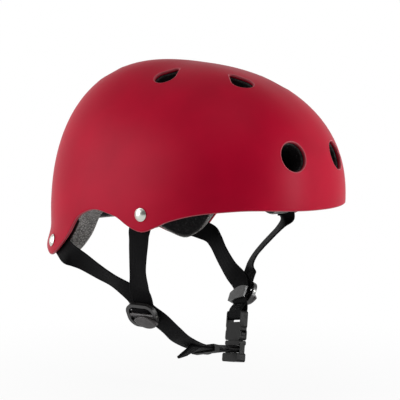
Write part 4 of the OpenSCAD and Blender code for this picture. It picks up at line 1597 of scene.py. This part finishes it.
@dataclass
class Harness:
    """The webbing, with the frames of the dividers, the buckle and the keeper that it runs through.

    Attributes:
        inset: depth of the webbing's middle below the shell's outer face.
        ply: how far the middle of a band lies from the face that it touches.
        web_end: how far a front strap goes on above its rivet.
        side_lobe: height of the shell's edge at the side rivets.
        tongue_bar: place of the tongue's bar along the buckle.
        tongue_turn: radius of the band's middle round it.
        socket_bar: place of the socket's bar along the buckle.
        socket_turn: radius of the band's middle round it.
        fold_at: middle of the puffed webbing's base, in the divider's frame.
        fold_half: half of its length and half of its width.
        fold_rise: how high it puffs up.
        sewn_margin: how far from a band's edges the stitches end.
        stitch: length of a stitch.
        thread: radius and height of the points of a stitch's profile.
    """

    dome: Dome = Dome()
    inset: float = 4.9
    ply: float = 0.95
    web_end: float = 8
    side_lobe: float = -13.5
    tongue_bar: float = -35.19
    tongue_turn: float = 2.35
    socket_bar: float = -4.8
    socket_turn: float = 2.7
    fold_at: tuple[float, float, float] = (0, 5.05, 1.85)
    fold_half: tuple[float, float] = (11, 2.75)
    fold_rise: float = 3.3
    sewn_margin: float = 2.6
    stitch: float = 2.3
    thread: tuple[tuple[float, float], ...] = (
        (0, -1.0), (0.2, -0.93), (0.28, -0.6), (0.29, 0), (0.28, 0.6), (0.2, 0.93), (0, 1.0))

    def divider(self, side: Side) -> Place:
        """Frame of a divider: x to the front, y up and z outwards."""
        at, out, hint = {
            Side.RIGHT: ((-71.2, -6, -84.8), (-0.89, -0.1, -0.45), (0.11, -0.99, 0)),
            Side.LEFT: ((69.5, -3.1, -85.5), (0.77, -0.38, -0.5), (-0.35, -0.86, 0.36)),
        }[side]
        z = unit(out)
        y = unit(-side.value * np.cross(z, hint))
        return Place(np.array(at, float), side.value * np.cross(z, y), y, z)

    @property
    def buckle(self) -> Place:
        """Frame of the buckle: x to the front, y up along the webbing and z towards the head."""
        up = unit([0.24, 0.1, 0.965])
        inward = unit(np.cross([-0.33, -0.925, 0.178], up))
        return Place(np.array([58.7, -5.8, -101.6]), np.cross(up, inward), up, inward)

    @property
    def keeper(self) -> Place:
        """Frame of the keeper: x across the webbing, y along its face and z along the webbing."""
        run = unit([0.95, 0.17, -0.28])
        aside = unit(np.cross(run, [-0.3, -0.27, -0.91]))
        return Place(np.array([-8, -20.3, -124.6]), aside, np.cross(aside, run), run)

    def on_wall(self, side: Side, u: float, z: float) -> Array:
        """Point of the webbing's middle line under the shell."""
        return self.dome.on_wall(side.value * u, z, self.inset)

    def front_route(self, side: Side, middle: Sequence[Station], across: tuple[float, float],
                    swing: float) -> list[Station]:
        """Stations of a front strap: down the wall from its rivet, through free air, into its divider.

        Args:
            side: the strap's side.
            middle: the stations in free air.
            across: where the band lies along the divider, above it and in it.
            swing: degrees round the bowl for each mm down the wall.

        Returns:
            The stations.
        """
        u, z = RIVET_SPOTS["side"]
        out = self.dome.wall_out(side, u, z)
        free = z - self.side_lobe
        drops = (-self.web_end, 0, free - 3, free + 1.5)
        at = self.divider(side)
        ends = [(at.point((x, y, self.ply)), at.z) for x, y in
                ((across[0], 22), (across[0], 15), (across[1], 4), (across[1], -2))]
        return [(self.on_wall(side, u - swing * d, z - d), out) for d in drops] + list(middle) + ends

    def rear_start(self, side: Side) -> list[Station]:
        """Stations of a rear strap where it lies under the shell."""
        u, z = RIVET_SPOTS["rear"]
        return [(self.on_wall(side, u + du, z + dz), self.dome.wall_out(side, u + min(du, 0), z))
                for du, dz in ((4.5, 2.6), (0, 0), (-6, -3.6), (-12, -8.2))]

    @staticmethod
    def bend(place: Place, middle: Sequence[float], start: Array, turn: Array, r: float,
             facing_out: bool) -> list[Station]:
        """Stations of a half turn round a bar: the centre plus r times a circle from start through turn.

        Args:
            place: the frame that the bar's middle is given in.
            middle: the bar's middle.
            start: the way from the middle to the first station.
            turn: the way from the middle to the station half way round.
            r: radius of the turn.
            facing_out: whether the band's face looks away from the bar.

        Returns:
            The stations.
        """
        ways = [start * math.cos(a) + turn * math.sin(a) for a in np.linspace(0, np.pi, 5)]
        return [(place.point(middle) + r * way, way if facing_out else -way) for way in ways]

    def chin_route(self) -> list[Station]:
        """Stations of the long right band: rivet, divider, chin, keeper, tongue bar and back to its tail."""
        at, keeper, buckle = self.divider(Side.RIGHT), self.keeper, self.buckle
        p, bar, r = self.ply, self.tongue_bar, self.tongue_turn
        through = [(-9, 17, -p - 1), (-3.5, 9.5, -p), (1.5, 3, -p), (6, -1.5, -p), (10.5, -5, -p)]
        return self.rear_start(Side.RIGHT) + [
            ((-97.8, 50.5, -39.4), (-0.96, 0.15, -0.12)),
            ((-95.2, 42.2, -43.2), (-0.93, 0.02, -0.36)),
            ((-91, 28.5, -51), (-0.84, 0.03, -0.54)),
            ((-86, 15.8, -58.4), (-0.79, 0.08, -0.61)),
        ] + [(at.point(v), at.z) for v in through] + [
            (at.point((14.5, -9.5, -p - 0.5)), (-0.87, -0.13, -0.48)),
            ((-57, -23.4, -100), (-0.66, -0.2, -0.72)),
            ((-48, -25.3, -108), (-0.45, -0.25, -0.86)),
            ((-32, -24.9, -116), (-0.38, -0.25, -0.89)),
        ] + [(keeper.point((0, -p, z)), keeper.y) for z in (-10.5, -5, 0, 6.5, 13.5, 16.5)] + [
            ((20, -11.8, -129.4), (-0.2, -0.17, -0.97)),
            ((33, -6.8, -130.2), (-0.2, -0.1, -0.97)),
            (buckle.point((0, bar + r, 8)), -buckle.y),
            (buckle.point((0, bar + r, 3.5)), -buckle.y),
        ] + self.bend(buckle, (0, bar, -0.6), buckle.y, -buckle.z, r, False) + [
            (buckle.point((0, bar - r, 3.5)), buckle.y),
            (buckle.point((0, bar - r + 0.4, 8)), buckle.y),
            ((33, -6.8, -133.2), (0.2, 0.1, 0.97)),
            ((20, -11.8, -131.8), (0.2, 0.17, 0.97)),
        ] + [(keeper.point((0, y, z)), -keeper.y) for y, z in
             ((p, 16.5), (p, 13.5), (p, 0), (p, -4.5), (p + 0.1, -7.5))] + [
            ((-25, -21.4, -122.6), (0.28, 0.45, 0.84)),
            ((-37, -20.6, -121.6), (0.3, 0.6, 0.74)),
        ]

    def left_route(self) -> list[Station]:
        """Stations of the left rear band: rivet, divider, and round the socket's bar to its sewn end."""
        at, buckle = self.divider(Side.LEFT), self.buckle
        p, bar, r = self.ply, self.socket_bar, self.socket_turn
        through = [(-4, 8.4, -p), (0, 0, -p), (0.8, -8, -p)]
        return self.rear_start(Side.LEFT) + [
            ((96.4, 49, -43.4), (0.96, -0.15, 0)),
            ((91, 37.2, -55.3), (0.94, -0.34, -0.09)),
            (at.point((-19, 24, -8)), (0.92, -0.35, -0.16)),
            (at.point((-9.5, 14.8, -2.8)), (0.86, -0.37, -0.33)),
        ] + [(at.point(v), at.z) for v in through] + [
            (buckle.point((0, 3.5, -4)), -buckle.z),
        ] + self.bend(buckle, (0, bar, 0), -buckle.z, -buckle.y, r, True) + [
            (buckle.point((0, 0, r)), buckle.z),
            (buckle.point((0, 4, 0.6)), buckle.z),
            (buckle.point((0, 7.5, -2.6)), buckle.z),
        ]

    def fold(self, side: Side) -> bpy.types.Object:
        """The webbing that puffs up in a divider's window, above the lever.

        A point at share rho and angle a lies on a superellipse, while its height over the base is the full
        rise times the root of one less rho to the fourth power, with a crease along its middle.

        Args:
            side: the divider's side.

        Returns:
            The piece.
        """
        place = self.divider(side)
        middle, base = self.fold_at[1:]
        rho = np.array([0.25, 0.5, 0.75, 0.95, 1, 0.995, 0.97, 0.92, 0.84, 0.72, 0.56, 0.38, 0.18])[:, None]
        a = full_turn(72)
        x = self.fold_half[0] * rho * power_of(np.cos(a), 2.8)
        y = middle + self.fold_half[1] * rho * power_of(np.sin(a), 2.3)
        crease = 1 - 0.16 * np.exp(-(((y - 4.4 - 0.06 * x) / 0.7) ** 2))
        high = base + self.fold_rise * np.sqrt(np.clip(1 - rho**4, 0, 1)) * crease
        high[:4] = base
        local = np.stack([x, y, high], axis=-1)
        tips = np.array([[0, middle, base], [0, middle, base + self.fold_rise * 0.87]])
        sheet = MeshSheet()
        sheet.capped(place.point(local), place.point(tips))
        obj = sheet.build(f"divider_fold_{side.word}")
        flat = np.concatenate([local.reshape(-1, 3), tips])[:, :2] / 10
        write_weave(obj.data, flat[corners_of(obj.data)])
        return obj

    def tack(self, name: str, band: Band, start: float, end: float, lift: float) -> bpy.types.Object:
        """Sew a box with a zigzag on both faces of a band.

        Args:
            name: name of the piece.
            band: the band.
            start: where the box starts, in mm before the band's end.
            end: where the box ends, in mm before the band's end.
            lift: height of the thread's middle over the middle of the band.

        Returns:
            The stitches.
        """
        sheet = MeshSheet()
        middle, across, out, length = band.frames()
        side = band.width / 2 - self.sewn_margin
        rows = np.linspace(start, end, 5)
        legs = [((-side, v), (side, v)) for v in (start, end)]
        legs += [((s * side, start), (s * side, end)) for s in (-1, 1)]
        legs += [((side * (-1) ** k, rows[k]), (-side * (-1) ** k, rows[k + 1])) for k in range(4)]
        for (x0, v0), (x1, v1) in legs:
            count = max(2, int(math.hypot(x1 - x0, v1 - v0) / self.stitch))
            for t in (np.arange(count) + 0.5) / count:
                k = int(np.argmin(np.abs(length - (length[-1] - (v0 + (v1 - v0) * t)))))
                for face in (-1, 1):
                    at = middle[k] + across[k] * (x0 + (x1 - x0) * t) + out[k] * lift * face
                    ahead = unit(np.cross(out[k], across[k]))
                    lie = unit(across[k] * (x1 - x0) - ahead * (v1 - v0))
                    lathe(sheet, Place(at, out[k], np.cross(lie, out[k]), lie), self.thread, turns=6)
        return sheet.build(name)

    def build(self) -> None:
        """Make the four bands; the long one, which runs from the helmet to the tongue, is put on no body."""
        front_right = self.front_route(Side.RIGHT, [
            ((-98.6, -23.8, -22), (-0.97, 0.02, -0.2)),
            ((-96, -20.8, -30.5), (-0.96, 0.1, -0.24)),
            ((-91.5, -16.4, -44.4), (-0.94, 0.18, -0.28)),
            ((-86.6, -13.4, -57), (-0.92, 0.06, -0.37)),
        ], (2.8, 1.3), -0.12)
        front_left = self.front_route(Side.LEFT, [
            ((98.6, -29.2, -20.5), (0.72, -0.54, -0.43)),
            ((96.3, -23.6, -28), (0.56, -0.56, -0.61)),
            ((93.8, -17.2, -35.4), (0.54, -0.55, -0.63)),
            ((91, -11.2, -42.6), (0.53, -0.54, -0.65)),
            ((87.2, -5.6, -51), (0.57, -0.59, -0.57)),
            ((83.6, -2.6, -59.6), (0.69, -0.6, -0.4)),
        ], (1.5, 1), 0.03)
        for side, route in ((Side.RIGHT, front_right), (Side.LEFT, front_left)):
            name = f"front_strap_{side.word}"
            finish_piece(Band(route).build(name + "_woven"), BLACK_WEBBING, Body.HELMET, [name])
            puff, at = self.fold(side), self.divider(side)
            finish_piece(puff, BLACK_WEBBING, Body.HELMET)
            tuple(at.z)
            tuple(at.point(self.fold_at) * MM)
            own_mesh(puff)
        left = Band(self.left_route())
        finish_piece(left.build("rear_strap_left_woven"), BLACK_WEBBING, Body.HELMET, ["rear_strap_left"])
        stitches = self.tack("rear_strap_left_stitches", left, start=8.5, end=2.5, lift=0.8)
        finish_piece(stitches, THREAD, Body.HELMET)
        band = Band(self.chin_route())
        length = band.frames()[3]
        # The tail is folded over, so its last 14 mm are nearly twice as thick
        swell = 1 + 0.9 * ease((length - length[-1] + 14) / 3)
        stitches = self.tack("chin_band_stitches", band, start=10, end=3, lift=1.46)
        finish_piece(stitches, THREAD, None)
        chin = band.build("chin_band_woven", swell)
        finish_piece(chin, BLACK_WEBBING, None, ["rear_strap_right", "adjuster_strap"])
        for obj in (chin, stitches):
            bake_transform(obj)


# Moulded fittings


@dataclass
class Fittings:
    """The moulded CAD parts that keep their own shape, with softened corners and their finishes.

    Attributes:
        leaf_at: middle of a lever's leaf in its divider's frame.
        leaf_turn: turn of the leaf, in degrees.
        leaf_top: height of its face.
        leaf_arc: radius of the two circles that outline it.
        leaf_off: distance of their centres from its middle.
        segments: steps of a rounded corner.
    """

    leaf_at: tuple[float, float] = (4, -4.5)
    leaf_turn: float = -6
    leaf_top: float = 7.84
    leaf_arc: float = 14.375
    leaf_off: float = 8.625
    segments: int = 2

    def soften(self, obj: bpy.types.Object, width: float) -> None:
        """Round a CAD part's corners with modifiers, which leave its own mesh as it is.

        Args:
            obj: the CAD part.
            width: width of the rounding, in mm.
        """
        weld = obj.modifiers.new("merge", "WELD")
        weld.merge_threshold = 0.00001
        flat = obj.modifiers.new("flats", "DECIMATE")
        flat.decimate_type, flat.angle_limit = "DISSOLVE", math.radians(1.5)
        bevel = obj.modifiers.new("corners", "BEVEL")
        bevel.width, bevel.segments, bevel.limit_method = width * MM, self.segments, "ANGLE"
        bevel.angle_limit, bevel.harden_normals, bevel.use_clamp_overlap = math.radians(35), False, True
        even = obj.modifiers.new("shading", "WEIGHTED_NORMAL")
        even.keep_sharp = True

    def cap(self, side: Side) -> bpy.types.Object:
        """The crowned face of a lever: a dome with a raised border round a bare sunk panel.

        The outline is the overlap of two circles: with c the distance of their centres from the middle, its
        radius at angle a is the root of (the arc's radius squared, less c squared times the square of the
        cosine of a), less c times the size of the sine of a. The height over the leaf at share s of that is
        the border's height plus the crown times one less s squared, less the panel's depth inside the border.

        Args:
            side: the lever's side.

        Returns:
            The piece.
        """
        place = Harness().divider(side)
        a = full_turn(96)
        share = np.array([0.3, 0.6, 0.9, 0.955, 0.97, 0.965, 0.94, 0.9, 0.84, 0.78, 0.74, 0.7, 0.66, 0.5,
                          0.3, 0.12])
        border, crown, panel, under = 0.35, 0.6, 0.22, -0.3
        high = border * np.sqrt(np.clip((0.975 - share) / 0.1, 0, 1)) + crown * (1 - share**2)
        high -= panel * ease((0.77 - share) / 0.08)
        high[:5] = [under, under, under, -0.25, -0.05]
        c, sine = self.leaf_off, np.abs(np.sin(a))
        reach = share[:, None] * (np.sqrt(c * c * sine**2 - c * c + self.leaf_arc**2) - c * sine)
        t = a + math.radians(self.leaf_turn)
        local = np.stack([
            self.leaf_at[0] + reach * np.cos(t), self.leaf_at[1] + reach * np.sin(t),
            np.repeat(self.leaf_top + high[:, None], len(a), axis=1)], axis=-1)
        tips = [(*self.leaf_at, self.leaf_top + rise) for rise in (under, border + crown - panel)]
        sheet = MeshSheet()
        sheet.capped(place.point(local), place.point(tips))
        return sheet.build(f"lever_face_{side.word}")

    def build(self) -> None:
        """Dress every fitting."""
        for side, body in ((Side.LEFT, Body.LEVER_LEFT), (Side.RIGHT, Body.LEVER_RIGHT)):
            finish_piece(self.cap(side), LEVER, body)
        plan: dict[Finish, tuple[tuple[str, float], ...]] = {
            DIVIDER: (("divider_frame_left", 0.6), ("divider_frame_right", 0.6)),
            BUCKLE: (("buckle_socket", 0.5), ("buckle_tongue", 0.5), ("buckle_arm_front", 0.2),
                     ("buckle_arm_rear", 0.2)),
            LEVER: (("divider_lever_left", 0.4), ("divider_lever_right", 0.4)),
            NICKEL: (("lever_pin_left", 0.15), ("lever_pin_right", 0.15)),
            KEEPER_RUBBER: (("strap_keeper", 0.3),),
            HOOK: (("hook_patches", 0.1),),
        }
        for finish, parts in plan.items():
            for name, width in parts:
                obj = frame["nodes"][name]
                self.soften(obj, width)
                finish.dress(obj)
                LOG.info("%s keeps its shape, as %s", name, finish.name)


# Studio


@dataclass
class Studio:
    """Camera, floor, world and lamps.

    Attributes:
        back: the way from the helmet to the camera.
        distance: how far away the camera is, in m.
        focal_px: focal length in pixels of the photograph.
        image_px: width of the photograph.
        centre_px: where the origin is in it.
        floor_z: height of the floor, in m.
        ambient: brightness of the world as light.
    """

    back: tuple[float, float, float] = (-0.7752, -0.6267, 0.0786)
    distance: float = 0.95
    focal_px: float = 1077.3
    image_px: float = 400
    centre_px: tuple[float, float] = (192.9, 205.5)
    floor_z: float = CAD_BOX[0][2] - 0.026
    ambient: float = 0.22

    def camera(self) -> None:
        """Put the camera where the photograph was taken: level, looking at the origin, with a small shift."""
        data = bpy.data.cameras.new("photo_camera")
        data.sensor_width = 36
        data.lens = self.focal_px * data.sensor_width / self.image_px
        half = self.image_px / 2
        data.shift_x = (half - self.centre_px[0]) / self.image_px
        data.shift_y = (self.centre_px[1] - half) / self.image_px
        data.clip_start, data.clip_end = 0.02, 20
        back = Vector(self.back).normalized()
        right = Vector((0, 0, 1)).cross(back).normalized()
        turn = Matrix((right, back.cross(right), back)).transposed()
        obj = add_object("photo_camera", data)
        obj.matrix_world = Matrix.Translation(back * self.distance) @ turn.to_4x4()
        bpy.context.scene.camera = obj

    def floor(self) -> None:
        """A wide pale floor under the helmet, which the camera sees as nearly white with a faint shadow."""
        data = bpy.data.meshes.new("floor")
        r, z = 6.0, self.floor_z
        data.from_pydata([(-r, -r, z), (r, -r, z), (r, r, z), (-r, r, z)], [], [(0, 1, 2, 3)])
        obj = add_object("floor", data)
        made = bpy.data.materials.new("pale_floor")
        made.use_nodes = True
        sheet = ShaderSheet(made.node_tree)
        matt = sheet.node("ShaderNodeBsdfDiffuse", None, {"Color": (0.88, 0.88, 0.88)})
        white = sheet.node("ShaderNodeEmission", None, {"Color": (1.0, 1.0, 1.0), "Strength": 1.0})
        ray = sheet.node("ShaderNodeLightPath").outputs
        seen = Value(sheet, ray["Is Camera Ray"]).most(ray["Is Glossy Ray"]).most(ray["Is Transmission Ray"])
        where = sheet.node("ShaderNodeTexCoord").outputs["Object"]
        away = sheet.value("ShaderNodeVectorMath", {"operation": "LENGTH"}, {0: where}, "Value")
        mixed = sheet.node("ShaderNodeMixShader", None, {
            0: seen * (0.92 + 0.08 * away.step(0.15, 0.5)), 1: matt.outputs[0], 2: white.outputs[0]})
        sheet.node("ShaderNodeOutputMaterial", None, {"Surface": mixed.outputs[0]})
        obj.data.materials.append(made)

    def world(self) -> None:
        """White to the camera and plain grey as light; dim behind the camera and above in reflections."""
        made = bpy.data.worlds.new("studio")
        bpy.context.scene.world = made
        made.use_nodes = True
        sheet = ShaderSheet(made.node_tree)
        ray = sheet.node("ShaderNodeLightPath").outputs
        way = sheet.node("ShaderNodeTexCoord").outputs["Generated"]
        level = sheet.value("ShaderNodeVectorMath", {"operation": "DOT_PRODUCT"},
                            {0: way, 1: self.back}, "Value")
        height = sheet.value("ShaderNodeSeparateXYZ", None, {0: way}, 2)
        room = (1 - 0.88 * level.step(0.45, 0.85)) * (1 - 0.6 * height.step(0.35, 0.8))
        white = Value(sheet, ray["Is Camera Ray"]).most(ray["Is Transmission Ray"])
        gloss = Value(sheet, ray["Is Glossy Ray"])
        light = white + (1 - white) * (self.ambient + gloss * (room - self.ambient))
        shine = sheet.node("ShaderNodeBackground", None, {"Color": (1.0, 1.0, 1.0), "Strength": light})
        sheet.node("ShaderNodeOutputWorld", None, {"Surface": shine.outputs[0]})

    def lamp(self, name: str, at: Sequence[float], size: tuple[float, float], power: float) -> None:
        """A soft rectangular lamp that looks at the helmet."""
        data = bpy.data.lights.new(name, "AREA")
        data.shape, data.size, data.size_y, data.energy = "RECTANGLE", *size, power
        obj = add_object(name, data)
        obj.location = at
        aim = Vector((0, 0, 0.02)) - Vector(at)
        obj.rotation_euler = aim.to_track_quat("-Z", "Y").to_euler()

    def lamps(self) -> None:
        """Two tall soft boxes at the camera's sides and a weak one above."""
        back = np.array(self.back)
        right = unit(np.cross([0, 0, 1], back))
        up = np.array([0, 0, 1.0])
        self.lamp("left_box", back * 0.25 - right * 1.25 + up * 0.35, (0.9, 1.2), 11.5)
        self.lamp("right_box", back * 0.4 + right * 1.2 + up * 0.1, (0.14, 1.1), 12.5)
        self.lamp("top_box", back * 0.5 + up * 1.4, (1.0, 1.0), 3)

    def build(self) -> None:
        """Set the whole studio up."""
        self.camera()
        self.floor()
        self.world()
        self.lamps()
        bpy.context.scene.view_settings.view_transform = "Standard"


def main() -> None:
    """Build the scene: studio, shell, liner, pads, rivets, harness and fittings, in that order."""
    logging.basicConfig(level=logging.INFO, format="%(name)s: %(message)s")
    Studio().build()
    Bowl("shell_moulded", "shell", SHELL_PAINT, outer=0, inner=3, lift=0, edge_r=1.45, lip_r=0.9,
         grow=0.8, bead=0.12).build()
    Bowl("liner_moulded", "liner", FOAM, outer=3.3, inner=23.3, lift=1.5, edge_r=2.0, lip_r=0.8,
         grow=0, grooved=True, columns=240, rows=52).build()
    PadKit().build()
    Rivets().build()
    Harness().build()
    Fittings().build()


if __name__ == "__main__":
    main()
